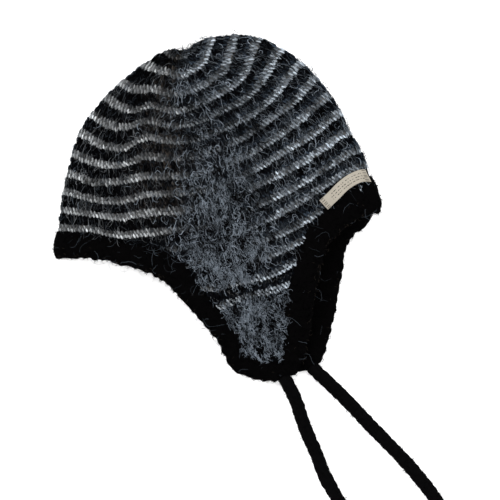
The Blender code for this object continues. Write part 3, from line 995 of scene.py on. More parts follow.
        # Grey: haze, fade, loose patches at the front, and a painted sheen on the steep sides
        grey = 0.48 * self.haze(ring, way) * rng.uniform(0.1, 1.3, count)
        grey = grey + 0.30 * fade * rng.uniform(0.0, 1.6, count) ** 2
        grey = grey + 0.08 * smoothstep(0.2, 0.9, waves(stitches.place, 16 * MM, 8)) * (way > 0.5)
        # Steep cloth near the folds is painted grey: a painted sheen where the wool turns away
        grey = grey + 0.30 * smoothstep(0.55, 0.25, np.abs(stitches.normal[:, 2]))
        brown = 0.40 * mottle * rng.uniform(0.0, 1.3, count) ** 2
        colour = Yarn.BLACK.rgb * rng.uniform(0.6, 2.2, (count, 1))
        tones = ((brown, Yarn.BROWN.rgb * 1.25), (grey, Yarn.GREY.rgb), (white, Yarn.WHITE.rgb))
        for share, tone in tones:
            colour = colour + (tone - colour) * np.clip(share, 0, 1.3)[:, None]
        front = smoothstep(0.30, 0.75, way)[:, None]
        cast = np.array([0.96, 1.0, 1.05]) + front * np.array([-0.07, 0.0, 0.09])
        return np.clip(colour * cast, 0.001, 1)


@dataclass(frozen=True)
class Fibre:
    """What loose fibres of one kind are like, and how many there are.

    Sizes are in metres and curl in radians: a fibre turns by about that at each of its points,
    and stands about lift off the wool at most.
    """

    count: int
    points: int = 6
    shortest: float = 6.0 * MM
    longest: float = 13.0 * MM
    radius: float = 0.21 * MM
    curl: float = 0.75
    lift: float = 1.2 * MM


@dataclass
class Knitting:
    """Lays stitches and fuzz over the hat's form."""

    form: HatForm
    yarn: StripedYarn
    rows_per_ring: int = 5
    stitch: float = 3.25 * MM
    skin: float = 1.15 * MM
    leg_radius: float = 0.76 * MM
    cover: float = 2.0 * MM
    flattest: float = 0.5 * MM
    leg_sides: int = 4
    under_leg_sides: int = 3
    seed: int = 11

    def lay(self, layer: Layer) -> Stitches:
        """Place stitches over one layer of the hat and its flap, evenly along each ring.

        Args:
            layer: The layer.

        Returns:
            All the stitches inside the edging.
        """
        step = 1 / self.rows_per_ring
        rings = np.arange(self.form.top_ring - 0.2, self.form.last_ring, -step)
        rings = np.round(rings / step - 0.5) * step + step / 2
        lines = self.form.ring_lines(rings, layer)
        above = self.form.ring_lines(rings + step, layer)
        below = self.form.ring_lines(rings - step, layer)
        climb = (above - below) / 2
        walked = np.linalg.norm(np.diff(lines, axis=1), axis=2).cumsum(axis=1)
        walked = np.column_stack([np.zeros(len(rings)), walked])
        parts: list[tuple[Array, ...]] = []
        shift = np.random.default_rng(self.seed + 1)
        for ring, line, rise, walk in zip(rings, lines, climb, walked):
            reach = int(walk[-1] / 2 / self.stitch)
            at = walk[-1] / 2 + (np.arange(-reach, reach) + shift.uniform()) * self.stitch
            place, ahead, up = (
                np.column_stack([np.interp(at, walk, column) for column in values.T])
                for values in (line, np.gradient(line, walk, axis=0), rise)
            )
            way = (place[:, 0] - line[0, 0]) / (line[-1, 0] - line[0, 0])
            parts.append((place, ahead, up, np.full(len(at), ring), way))
        place, along, up, ring, way = (np.concatenate(column) for column in zip(*parts))
        along = unit(along)
        up = up - along * (up * along).sum(axis=1, keepdims=True)
        height = np.linalg.norm(up, axis=1)
        up = unit(up)
        normal = np.cross(along, up)
        normal = -normal if layer is Layer.UNDER else normal
        width = np.full(len(ring), self.stitch)
        found = Stitches(place, along, up, normal, ring, way, width, height)
        keep = self.form.in_knit(place[:, :2], layer, self.cover) & (height > self.flattest)
        return found.pick(keep)

    def legs(
        self, stitches: Stitches, colours: Array, rng: np.random.Generator, layer: Layer
    ) -> Surface:
        """The two legs of each stitch, which lean apart upwards like the strokes of a V.

        A leg runs from low in the middle of its stitch to high at its side, bowed outwards, and
        is thickest half way. The second leg of a stitch lies lower. Its colour is painted darker as
        shade, and the first leg's colour is painted lighter as lit.

        Args:
            stitches: The stitches.
            colours: Colour of each.
            rng: The source of chance.
            layer: Their layer; a leg's round profile has fewer corners underneath.

        Returns:
            All the legs as one surface.
        """
        sides = self.under_leg_sides if layer is Layer.UNDER else self.leg_sides
        across = np.array([0.00, 0.15, 0.38, 0.53])
        climb = np.array([-0.84, -0.32, 0.32, 0.86])
        depth = np.array([-0.85, 0.20, 0.35, -0.75])
        slip = rng.normal(0, 0.15, (len(stitches.place), 1))
        paths = []
        for side in (-1, 1):
            sink = 0.45 if side > 0 else 0.0
            jitter = rng.normal(0, 0.07, (3, len(stitches.place), 1))
            paths.append(stitches.offset(
                stitches.width[:, None] * (side * across + jitter[0]),
                stitches.height[:, None] * (climb + slip + jitter[1]),
                self.skin + self.leg_radius * (depth - sink + 2 * jitter[2]),
            ))
        paths = np.concatenate(paths)
        count = len(paths)
        radii = self.leg_radius * rng.uniform(0.82, 1.12, (count, 1)) * np.ones((1, 2))
        # Each leg's colour is a random tone times painted light: the first leg of a stitch is painted
        # lighter as lit, the second darker as shaded
        shade = rng.uniform(0.65, 1.35, (count, 1)) * np.repeat([[1.15], [0.55]], count // 2, axis=0)
        made = strands(
            paths, np.tile(stitches.normal, (2, 1)), radii, sides, np.tile(colours, (2, 1)) * shade
        )
        made.places[:, 2] = np.maximum(made.places[:, 2], 0.0)
        return made

    def fuzz(
        self, stitches: Stitches, fibre: Fibre, colours: Array, chance: Array,
        rng: np.random.Generator,
    ) -> Surface:
        """Loose curly fibres that stand out of the knit and lie back on it.

        A fibre starts at a chosen stitch, sets off in a chance direction within the surface and
        turns by a chance angle at each step, a step being shorter along the row than across it;
        its middle stands off the knit by half a sine wave.

        Args:
            stitches: The stitches they grow from.
            fibre: What the fibres are like.
            colours: Colour of each stitch's fibres.
            chance: How likely each stitch is to carry a fibre.
            rng: The source of chance.

        Returns:
            All the fibres as one surface.
        """
        count, points = fibre.count, fibre.points
        root = rng.choice(len(stitches.place), count, p=chance / chance.sum())
        long = rng.uniform(fibre.shortest, fibre.longest, count)
        bend = rng.normal(0, fibre.curl, (count, 1))
        bend = bend + rng.normal(0, fibre.curl * 0.6, (count, points - 1))
        turns = rng.uniform(0, 2 * np.pi, (count, 1)) + np.cumsum(bend, axis=1)
        step = (long / (points - 1))[:, None]
        aside = np.column_stack([np.zeros(count), np.cumsum(0.75 * np.cos(turns) * step, axis=1)])
        climb = np.column_stack([np.zeros(count), np.cumsum(1.15 * np.sin(turns) * step, axis=1)])
        start = rng.uniform(-0.5, 0.5, (2, count, 1)) * self.stitch
        wave = np.sin(np.pi * np.linspace(0, 1, points))
        stand = wave * fibre.lift * rng.uniform(0.2, 1.2, (count, 1))
        base = self.skin + 0.6 * self.leg_radius
        rooted = stitches.pick(root)
        paths = rooted.offset(aside + start[0], climb + start[1], base + stand)
        thick = fibre.radius * rng.uniform(0.7, 1.3, (count, 1)) * np.ones(points - 2)
        tints = colours[root] * rng.uniform(0.6, 1.4, (count, 1))
        made = strands(paths, rooted.normal, thick, 3, tints)
        made.places[:, 2] = np.maximum(made.places[:, 2], 0.0)
        return made


@dataclass
class Crown:
    """The crown and the two ear flaps: knitted walls, stitches and fuzz."""

    knitting: Knitting
    wall: float = 1.9 * MM
    root_sag: float = 5.0 * MM
    root_margin: float = 2.0 * MM
    root_overlap: float = 1.0 * MM
    shell_rows: int = 96
    shell_columns: int = 120
    trial_rows: int = 181
    flap_rows: int = 44
    flap_columns: int = 40
    # How much of a flap's edge is its back side, and as much again its front side
    flap_side: float = 0.39
    near_edging: float = 6.0 * MM
    curls: Fibre = Fibre(5800)
    hairs: Fibre = Fibre(5000, points=5, radius=0.10 * MM, curl=0.6, lift=1.6 * MM)
    flap_curls: Fibre = Fibre(4300, shortest=4.0 * MM, longest=10.0 * MM, radius=0.19 * MM)
    far_hairs: Fibre = Fibre(1800, points=5, radius=0.14 * MM, curl=0.6, lift=0.8 * MM)
    strand_finish: WoolFinish = WoolFinish("brushed_wool")
    # The wall's finish carries its tint, which is painted shade for the gaps between the stitches
    wall_finish: WoolFinish = WoolFinish("wool_ground", fibre=1.6 * MM, contrast=0.7, bump=0.8 * MM)

    def root_line(self, edge: Array, x: Array) -> Array:
        """Find the y at which the crown's last row meets the flap's first.

        It is the straight line between the ends of the flap's edge, less a parabola.

        Args:
            edge: The flap's edge, from back to front.
            x: Where to read it.

        Returns:
            The line's y at each x.
        """
        start, end = edge[0], edge[-1]
        share = np.clip((x - start[0]) / (end[0] - start[0]), 0, 1)
        return start[1] + (end[1] - start[1]) * share - self.root_sag * 4 * share * (1 - share)

    def flap_edge(self, layer: Layer) -> Array:
        """Cut out the part of the knit's edge that goes round a flap, from back to front.

        Args:
            layer: The layer that the flap belongs to.

        Returns:
            Rows of x and y.
        """
        form = self.knitting.form
        edge = form.knit_edge(layer, self.knitting.cover)
        shift = form.edge[4, 3] if layer is Layer.UNDER else 0.0
        back, front = form.edge[3, 0] + shift + 6.0 * MM, form.edge[-4, 0] + shift - 4.0 * MM
        low = edge[:, 1] < form.root_y + self.root_margin
        start = int(np.argmax(low & (edge[:, 0] > back)))
        stop = len(edge) - int(np.argmax((low & (edge[:, 0] < front))[::-1]))
        return edge[start:stop]

    def crown_layer(self, layer: Layer) -> tuple[Array, Array, Array]:
        """One layer of the crown's wall: ring lines from the tip down to the rim.

        Each column of the grid ends at its own ring, where the line of the rim crosses it.

        Args:
            layer: The layer.

        Returns:
            The places, the ring numbers and the ways along the rings.
        """
        form = self.knitting.form
        fine = np.linspace(form.top_ring, -3.0, self.trial_rows)
        lines = form.ring_lines(fine, layer, self.shell_columns + 1)
        flap = self.flap_edge(layer)
        x, y = lines[..., 0], lines[..., 1]
        spanned = (x > flap[0, 0]) & (x < flap[-1, 0])
        within = form.in_knit(lines[..., :2].reshape(-1, 2), layer, self.knitting.cover)
        below_root = spanned & (y < self.root_line(flap, x) - self.root_overlap)
        within = within.reshape(x.shape) & ~below_root
        last = len(fine) - 1 - np.argmax(within[::-1], axis=0)
        share = np.linspace(0, 1, self.shell_rows)[:, None]
        at = share * last[None]
        grid = np.stack([
            smooth_table(lines[:, column], at[:, column]) for column in range(lines.shape[1])
        ], axis=1)
        rings = np.interp(at, np.arange(len(fine)), fine)
        return grid, rings, np.linspace(0, 1, lines.shape[1])[None] + 0 * rings

    def crown_shell(self) -> Surface:
        """Wall of the crown: both layers joined along the two folds, and closed at the tip.

        Returns:
            The middle surface of the wall.
        """
        top, under = self.crown_layer(Layer.TOP), self.crown_layer(Layer.UNDER)
        grid, ring, way = (
            np.concatenate([one, two[:, -2:0:-1]], axis=1) for one, two in zip(top, under)
        )
        # The wall is tinted with painted shade: a much darker copy of the yarn that shows between the
        # stitches
        tints = self.ground(ring.ravel(), way.ravel())
        return closed_tube(grid, tints, ends=(True, False))

    def ground(self, ring: Array, way: Array) -> Array:
        """Colour the wall behind the stitches as its yarn is, but much darker: painted shade that shows
        in the gaps between the stitches.

        Args:
            ring: Ring numbers, with fractions.
            way: Way from the back fold to the front fold, from 0 to 1.

        Returns:
            Linear colours, a row for each place.
        """
        yarn = self.knitting.yarn
        white = yarn.white(ring, way)[:, None]
        fade = yarn.fade(ring, way)[:, None]
        # Near-black painted shade, with the white rows dimmed to about a fifth, also as painted shade
        dark = Yarn.SOOT.rgb + (Yarn.GREY.rgb - Yarn.SOOT.rgb) * 0.12 * fade
        return dark + (Yarn.WHITE.rgb * 0.22 - dark) * np.clip(white, 0, 1)

    def flap_shell(self, layer: Layer) -> Surface:
        """Wall of one flap: a patch spanned between its root line and its three edges.

        Each place is the sum of the two mixes of opposite sides less the mix of the corners.

        Args:
            layer: The layer that the flap belongs to.

        Returns:
            The middle surface of the wall.
        """
        edge = self.flap_edge(layer)
        share = np.linspace(0, 1, self.flap_columns)
        down = np.linspace(0, 1, self.flap_rows)
        corner = round(self.flap_side * len(edge))

        def spread(line: Array, at: Array) -> Array:
            """Read a line at shares of its count of points.

            Args:
                line: The points.
                at: The shares, from 0 to 1.

            Returns:
                A point for each share.
            """
            walked = np.linspace(0, 1, len(line))
            return np.column_stack([np.interp(at, walked, column) for column in line.T])

        top = edge[0] + (edge[-1] - edge[0]) * share[:, None]
        top[:, 1] = self.root_line(edge, top[:, 0])
        back, front = spread(edge[: corner + 1], down), spread(edge[: -corner - 2 : -1], down)
        bottom = spread(edge[corner : len(edge) - corner], share)
        u, v = share[None, :, None], down[:, None, None]
        sheet = (1 - v) * top[None] + v * bottom[None] + (1 - u) * back[:, None] + u * front[:, None]
        left, right = ((1 - v) * top[end] + v * bottom[end] for end in (0, -1))
        sheet -= (1 - u) * left + u * right
        form = self.knitting.form
        height = np.full(sheet.shape[:2], form.knit / 2)
        if layer is Layer.TOP:
            height = form.upper_height(sheet[..., 0], sheet[..., 1])
        places = np.dstack([sheet, height]).reshape(-1, 3)
        ring = np.repeat(np.linspace(-1.0, form.last_ring, self.flap_rows), self.flap_columns)
        # The flap's wall is tinted with painted shade: a much darker copy of the yarn that shows
        # between the stitches
        tints = self.ground(ring, np.full(len(ring), 0.6))
        faces = grid_faces(self.flap_rows, self.flap_columns)
        return Surface(places, faces[:, ::-1] if layer is Layer.TOP else faces, tints)

    def thicken(self, item: bpy.types.Object) -> bpy.types.Object:
        """Give a wall its thickness, half on either side.

        Args:
            item: The wall.

        Returns:
            The same object.
        """
        solid = item.modifiers.new("wall", "SOLIDIFY")
        solid.thickness = self.wall
        solid.offset = 0.0
        return item

    def split(self, stitches: Stitches, layer: Layer) -> dict[Region, Stitches]:
        """Share the stitches of a layer out between the crown and the flap.

        Args:
            stitches: The stitches.
            layer: Their layer.

        Returns:
            The stitches of each part.
        """
        flap = self.flap_edge(layer)
        x, y = stitches.place[:, 0], stitches.place[:, 1]
        spanned = (x > flap[0, 0] - self.root_margin) & (x < flap[-1, 0] + self.root_margin)
        low = spanned & (y < self.root_line(flap, x))
        return {Region.CROWN: stitches.pick(~low), Region.FLAP: stitches.pick(low)}

    def build(self) -> None:
        """Make the walls, stitches and fuzz of both layers."""
        wall, wool = self.wall_finish.material(), self.strand_finish.material()
        rng = np.random.default_rng(self.knitting.seed)
        self.build_walls(wall)
        for layer in Layer:
            laid = self.split(self.knitting.lay(layer), layer)
            for region, stitches in laid.items():
                colours = self.knitting.yarn.colours(stitches, rng)
                legs = self.knitting.legs(stitches, colours, rng, layer)
                legs.put(f"{region.value}_stitches_{layer.value}", wool, region.slot)
                self.build_fuzz(region, stitches, colours, layer, wool, rng)

    def build_walls(self, wall: bpy.types.Material) -> None:
        """Make the knitted walls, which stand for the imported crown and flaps."""
        shell = self.crown_shell().put("crown_wall", wall, Region.CROWN.slot)
        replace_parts(self.thicken(shell), "crown")
        for layer in Layer:
            flap = self.flap_shell(layer).put(f"ear_flap_wall_{layer.value}", wall, Region.FLAP.slot)
            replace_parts(self.thicken(flap), f"ear_flap_{layer.value}")

    def build_fuzz(
        self, region: Region, stitches: Stitches, colours: Array, layer: Layer,
        wool: bpy.types.Material, rng: np.random.Generator,
    ) -> None:
        """Grow the fuzz of one part: thick where the stripes fade, thin over the black rows.

        Args:
            region: The part.
            stitches: Its stitches.
            colours: Their colours.
            layer: Their layer.
            wool: The fuzz's material.
            rng: The source of chance.
        """

        def grow(kind: str, fibre: Fibre, tints: Array, chance: Array) -> None:
            """Make one piece of fuzz.

            Args:
                kind: What the piece's name calls its fibres.
                fibre: What they are like.
                tints: Their colour at each stitch.
                chance: How likely each stitch is to carry one.
            """
            made = self.knitting.fuzz(stitches, fibre, tints, chance, rng)
            made.put(f"{region.value}_{kind}_{layer.value}", wool, region.slot)

        yarn = self.knitting.yarn
        ring, way = stitches.ring, stitches.way
        fade, haze = yarn.fade(ring, way), yarn.haze(ring, way)
        off_stripe = np.abs(ring - np.round(ring))
        open_rows = 1 - 0.6 * smoothstep(0.16, 0.34, off_stripe) * smoothstep(0.8, 2.0, ring)
        fade = fade * open_rows * (1 - 0.8 * np.clip(2.0 * yarn.white(ring, way) - 0.8, 0, 1))
        facing = smoothstep(0.15, 0.5, np.abs(stitches.normal[:, 2]))
        clear = self.knitting.form.in_knit(stitches.place[:, :2], layer, -self.near_edging)
        facing = facing * np.where(clear, 1.0, 0.15)
        count = len(ring)
        bright = rng.uniform(size=(count, 1)) < (0.47 if region is Region.FLAP else 0.40)
        curl_tint = np.where(
            bright, Yarn.MIST.rgb * rng.uniform(0.5, 1.9, (count, 1)),
            Yarn.BLACK.rgb * rng.uniform(0.8, 3.5, (count, 1)),
        )
        hair_tint = colours * 0.35 + Yarn.GREY.rgb * rng.uniform(0.05, 0.7, (count, 1))
        if layer is Layer.UNDER:
            grow("hairs", self.far_hairs, hair_tint, 0.3 + fade)
        elif region is Region.FLAP:
            grow("curls", self.flap_curls, curl_tint, (0.02 + fade) * (0.75 + 0.25 * facing))
        else:
            chance = (0.006 + fade + 0.25 * haze + 0.03 * yarn.mottle(ring, way)) * facing
            grow("curls", self.curls, curl_tint, chance)
            pale = np.clip(colours.mean(axis=1) * 3, 0, 1)
            grow("hairs", self.hairs, hair_tint, (0.35 + 0.45 * pale) * (0.3 + 0.7 * facing))


@dataclass
class Edging:
    """The thick felted edging round the rim and both flaps."""

    form: HatForm
    rings: int = 640
    sides: int = 30
    fullness: float = 0.8
    lump: float = 0.8 * MM
    ridge: float = 0.9 * MM
    ridge_length: float = 8.4 * MM
    overlap: float = 3.4 * MM
    # Under the tape the edging reaches further over the knit, from one x to the other
    label_overlap: float = 3.2 * MM
    label_from: float = 82.0 * MM
    label_to: float = 96.0 * MM
    down: Fibre = Fibre(
        5200, points=5, shortest=2.0 * MM, longest=5.0 * MM, radius=0.14 * MM, curl=0.6, lift=1.1 * MM
    )
    curls: Fibre = Fibre(
        330, points=8, shortest=8.0 * MM, longest=20.0 * MM, radius=0.11 * MM, curl=0.3, lift=1.1 * MM
    )
    # Light curls spill off the knit behind the flap: at this x, so far to each side, so much denser
    spill_x: float = -48.0 * MM
    spill_reach: float = 26.0 * MM
    spill_density: float = 14.0
    # Above this height the edging is the upper layer's
    upper_from: float = 8.0 * MM
    lowest_hair: float = 0.2 * MM
    seed: int = 23
    finish: WoolFinish = WoolFinish(
        "felted_wool", fibre=0.9 * MM, patch=5.0 * MM, contrast=0.6, bump=0.5 * MM,
        specular=0.01, tint=(0.0012, 0.0011, 0.0012),
    )
    hair_finish: WoolFinish = WoolFinish("edging_hair", contrast=0.4)

    def surface(self) -> tuple[Surface, Array, Array]:
        """A full rounded profile carried once round, with soft lumps and knitted ridges.

        The profile is a superellipse: cos and sin of the turn, each raised to the fullness; it
        reaches further inwards, over the knit. The relief is soft waves plus a swelling across
        the edging at every few rows of stitches.

        Returns:
            The surface, and the place and normal of every point on it.
        """
        path = self.form.band_path(self.rings)
        ahead, outward, normal = self.form.band_frames(path)
        turn = np.pi / 2 - np.arange(self.sides) * 2 * np.pi / self.sides
        wave = np.array([np.cos(turn), np.sin(turn)])
        fullness = self.fullness + (1.15 - self.fullness) * (1 - np.abs(path[:, 6:7]))
        across, through = np.sign(wave)[:, None] * np.abs(wave)[:, None] ** fullness
        under_tape = smoothstep(self.label_from, self.label_to, path[:, :1])
        over = self.overlap + self.label_overlap * under_tape
        reach = path[:, None, 3] / 2 + over * (across < 0)
        arm = (
            outward[:, None] * (across * reach)[..., None]
            + normal[:, None] * (through[..., None] * self.form.band / 2)
        )
        places = path[:, None, :3] + arm
        out = unit(
            outward[:, None] * (across[..., None] * self.form.band)
            + normal[:, None] * (through[..., None] * path[:, None, 3:4])
        )
        length = np.linalg.norm(np.diff(path[:, :3], axis=0), axis=1).sum()
        row = np.arange(self.rings) / self.rings * round(length / self.ridge_length)
        drift = 1.4 * waves(path[:, :3], 60 * MM, self.seed + 1)
        ribs = (0.5 + 0.5 * np.cos(2 * np.pi * row + 2 * drift))[:, None] + 0 * through
        relief = self.lump * (waves(places, 14 * MM, self.seed) - 0.3) + self.ridge * (ribs - 0.8)
        relief = relief + 0.6 * self.lump * (waves(places, 10 * MM, self.seed + 2) - 0.1)
        places = places + out * relief[..., None]
        places[..., 2] = np.maximum(places[..., 2], 0.0)
        faces = grid_faces(self.rings, self.sides, closed=True, looped=True)
        return Surface(places.reshape(-1, 3), faces), places, out

    def hair(
        self, places: Array, out: Array, fibre: Fibre, light: bool, rng: np.random.Generator
    ) -> Surface:
        """Fibres on the edging: short dark down all over, or a few long light curls.

        A fibre turns the same way at each step, give or take a little, and rises off the felt in
        a low arch. Light curls stand thickest on the edging's inner side behind the flap, where
        they spill off the knit. More of the dark down on the edging's outer side is tinted brown
        as painted rim light.

        Args:
            places: Points of the edging's surface.
            out: Its normals.
            fibre: What the fibres are like.
            light: Whether they are the light curls.
            rng: The source of chance.

        Returns:
            The fibres as one surface.
        """
        count, steps = fibre.count, fibre.points - 1
        flat, up = places.reshape(-1, 3), out.reshape(-1, 3)
        ahead = unit(flat - np.roll(places, 1, axis=0).reshape(-1, 3))
        upper = flat[:, 2] > self.upper_from
        outwards = np.cos(np.pi / 2 - np.arange(len(flat)) % self.sides * 2 * np.pi / self.sides)
        if light:
            middle = np.exp(-(((flat[:, 0] - self.spill_x) / self.spill_reach) ** 2))
            spill = np.where(outwards < -0.35, 1 + self.spill_density * middle, 1.0)
            weight = np.where(flat[:, 0] < 0, 1.0, 0.3) * upper * spill
        else:
            weight = np.where(upper, 1.0, 0.4)
        root = rng.choice(len(flat), count, p=weight / weight.sum())
        side = np.cross(up[root], ahead[root])
        long = rng.uniform(fibre.shortest, fibre.longest, count)
        lean = rng.choice([-1, 1], (count, 1)) * fibre.curl + rng.normal(0, 0.3, (count, steps))
        turns = rng.uniform(0, 2 * np.pi, (count, 1)) + np.cumsum(lean, axis=1)
        step = (long / steps)[:, None]
        aside = np.column_stack([np.zeros(count), np.cumsum(np.cos(turns) * step, axis=1)])
        climb = np.column_stack([np.zeros(count), np.cumsum(np.sin(turns) * step, axis=1)])
        rise = np.interp(np.linspace(0, 4, steps + 1), np.arange(5), [-0.3, 0.5, 1.0, 1.1, 0.7])
        stand = rise * rng.uniform(0.2, 1.0, (count, 1)) * fibre.lift
        paths = (
            flat[root][:, None]
            + ahead[root][:, None] * aside[..., None]
            + side[:, None] * climb[..., None]
            + up[root][:, None] * stand[..., None]
        )
        paths[..., 2] = np.maximum(paths[..., 2], self.lowest_hair)
        thick = fibre.radius * rng.uniform(0.7, 1.2, (count, 1)) * np.ones(steps - 1)
        # On the edging's outer side more of the dark down is tinted brown: painted rim light
        rim_lit = rng.uniform(size=count) < np.where(outwards[root] > 0.7, 0.3, 0.03)
        if light:
            tone = Yarn.GREY.rgb * rng.uniform(0.2, 1.5, (count, 1))
        else:
            tone = Yarn.BLACK.rgb * rng.uniform(0.4, 1.5, (count, 1))
            tone = tone + Yarn.BROWN.rgb * rim_lit[:, None] * 0.4
        return strands(paths, up[root], thick, 3, tone)

    def build(self) -> None:
        """Make the edging and its fibres."""
        rng = np.random.default_rng(self.seed)
        body, places, out = self.surface()
        item = body.put("edge_band_felt", self.finish.material(), "edging_wool")
        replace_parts(item, "edge_band")
        hair = self.hair_finish.material()
        self.hair(places, out, self.down, False, rng).put("edge_band_down", hair, "edging_wool")
        self.hair(places, out, self.curls, True, rng).put("edge_band_curls", hair, "edging_wool")


@dataclass
class Tie:
    """One tie: a felted cord of three strands, and the plain knot on its end."""

    layer: Layer
    route: tuple[tuple[float, float, float], ...]
    length: float
    diameter: float = 10.8 * MM
    rings: int = 230
    sides: int = 26
    strands: int = 3
    pitch: float = 21.0 * MM
    groove: float = 0.10
    closing: float = 2.0 * MM
    lump: float = 0.35 * MM
    knot_length: float = 19.0 * MM
    knot_diameter: float = 17.0 * MM
    knot_rows: int = 40
    knot_sides: int = 36
    knot_lump: float = 0.3 * MM
    gap: float = 0.5 * MM
    rooted: float = 4.5 * MM
    tucked: float = 6.5 * MM
    hairs: int = 700
    hair_radius: float = 0.12 * MM
    bare_rings: int = 6
    lowest_hair: float = 0.2 * MM
    seed: int = 31
    finish: WoolFinish = WoolFinish(
        "felted_cord", fibre=0.8 * MM, patch=4.0 * MM, contrast=0.6, bump=0.45 * MM,
        specular=0.01, tint=(0.0020, 0.0019, 0.0021),
    )
    hair_finish: WoolFinish = WoolFinish("cord_hair", contrast=0.4)

    def line(self, tucked: float = 0.0) -> Array:
        """The cord's middle line in even steps, which starts inside the edging.

        Args:
            tucked: How far it runs on into the knot.

        Returns:
            The places.
        """
        route = np.array(self.route)
        root = route[0] - unit(route[1] - route[0]) * self.rooted
        tip = route[-1] + unit(route[-1] - route[-2]) * tucked
        return even_line(np.vstack([root, route[:-1], tip]), self.rings)

    def surface(self) -> tuple[Surface, Array, Array]:
        """A round profile carried along the route, grooved where its strands meet.

        The angle less the twist, times half the number of strands, is the angle within a strand.
        The radius is half the diameter less a groove, which is 1 less a power of that angle's
        sine, plus soft lumps; the ends close in on the line.

        Returns:
            The surface, and the place and outward way of every point on it.
        """
        line = self.line(self.tucked)
        across, above = upright(unit(np.gradient(line, axis=0)))
        walked = np.concatenate([[0], np.cumsum(np.linalg.norm(np.diff(line, axis=0), axis=1))])
        turn = 2 * np.pi * np.arange(self.sides) / self.sides
        twist = 2 * np.pi * walked / self.pitch
        ply = self.strands * (turn[None] - twist[:, None]) / 2
        seam = 1 - np.abs(np.sin(ply)) ** 0.6
        wheel = np.array([np.cos(turn), np.sin(turn)])[..., None]
        out = across[:, None] * wheel[0] + above[:, None] * wheel[1]
        radius = self.diameter / 2 * (1.02 - self.groove * seam)
        lumps = self.lump * waves(line[:, None] + out * radius[..., None], 9 * MM, 5)
        close = np.sqrt(np.clip(np.minimum(walked, walked[-1] - walked) / self.closing, 0, 1))
        radius = (radius + lumps) * np.maximum(close, 0.02)[:, None]
        places = line[:, None] + out * radius[..., None]
        places[..., 2] = np.maximum(places[..., 2], 0.0)
        return closed_tube(places), places, out

    def knot(self) -> Surface:
        """The knot: an egg wound round by two strands, pinched between them.

        Along the knot, t runs from -1 to 1 and the radius is the root of 1 - t squared, swollen
        by a power of the sine of the angle plus a multiple of t.

        Returns:
            The surface.
        """
        line = self.line()
        ahead = unit(line[-1] - line[-3])
        across, above = upright(ahead)
        lean = np.linspace(-0.48 * np.pi, 0.48 * np.pi, self.knot_rows)[:, None]
        turn = 2 * np.pi * np.arange(self.knot_sides)[None] / self.knot_sides
        t = np.sin(lean)
        wind = np.abs(np.sin(turn + 2.6 * t)) ** 0.7
        radius = self.knot_diameter / 2 * np.cos(lean) * (0.80 + 0.20 * wind)
        centre = line[-1] + ahead * (self.knot_length / 2 + self.gap)
        centre[2] = self.knot_diameter / 2
        places = (
            centre
            + ahead * (t * self.knot_length / 2 + 0 * turn)[..., None]
            + across * (radius * np.cos(turn))[..., None]
            + above * (radius * np.sin(turn))[..., None]
        )
        lumps = self.knot_lump * waves(places, 7 * MM, 9)
        places = places + lumps[..., None] * unit(places - centre)
        return closed_tube(places)

    def hair(self, places: Array, out: Array) -> Surface:
        """Short dark down on the cord: each hair runs straight plus a bend times t squared.

        Args:
            places: Points of the cord's surface.
            out: The way outwards at each.

        Returns:
            The down as one surface.
        """
        rng = np.random.default_rng(self.seed)
        inner = places[self.bare_rings : -self.bare_rings].reshape(-1, 3)
        up = out[self.bare_rings : -self.bare_rings].reshape(-1, 3)
        root = rng.choice(len(inner), self.hairs)
        long = rng.uniform(1.5 * MM, 4.0 * MM, (self.hairs, 1))
        way = unit(rng.normal(size=(self.hairs, 3)) + 0.25 * up[root])
        bend = rng.normal(0, 0.25, (self.hairs, 3))
        t = np.array([-0.1, 0.25, 0.5, 0.75, 1.0])[None, :, None]
        paths = inner[root][:, None] + long[..., None] * (way[:, None] * t + bend[:, None] * t * t)
        paths[..., 2] = np.maximum(paths[..., 2], self.lowest_hair)
        thick = self.hair_radius * rng.uniform(0.7, 1.2, (self.hairs, 1)) * np.array([1.0, 1.0, 0.8])
        tints = Yarn.BLACK.rgb * rng.uniform(0.5, 2.0, (self.hairs, 1))
        return strands(paths, up[root], thick, 3, tints)

    def build(self) -> None:
        """Make the cord, its knot and its down."""
        name = self.layer.value
        felt, hair = self.finish.material(), self.hair_finish.material()
        body, places, out = self.surface()
        cord = body.put(f"tie_{name}_cord", felt, "tie_wool")
        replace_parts(cord, f"tie_{name}")
        knot = self.knot().put(f"tie_{name}_knot", felt, "tie_wool")
        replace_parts(knot, f"tie_knot_{name}")
        down = self.hair(places, out).put(f"tie_{name}_down", hair, "tie_wool")


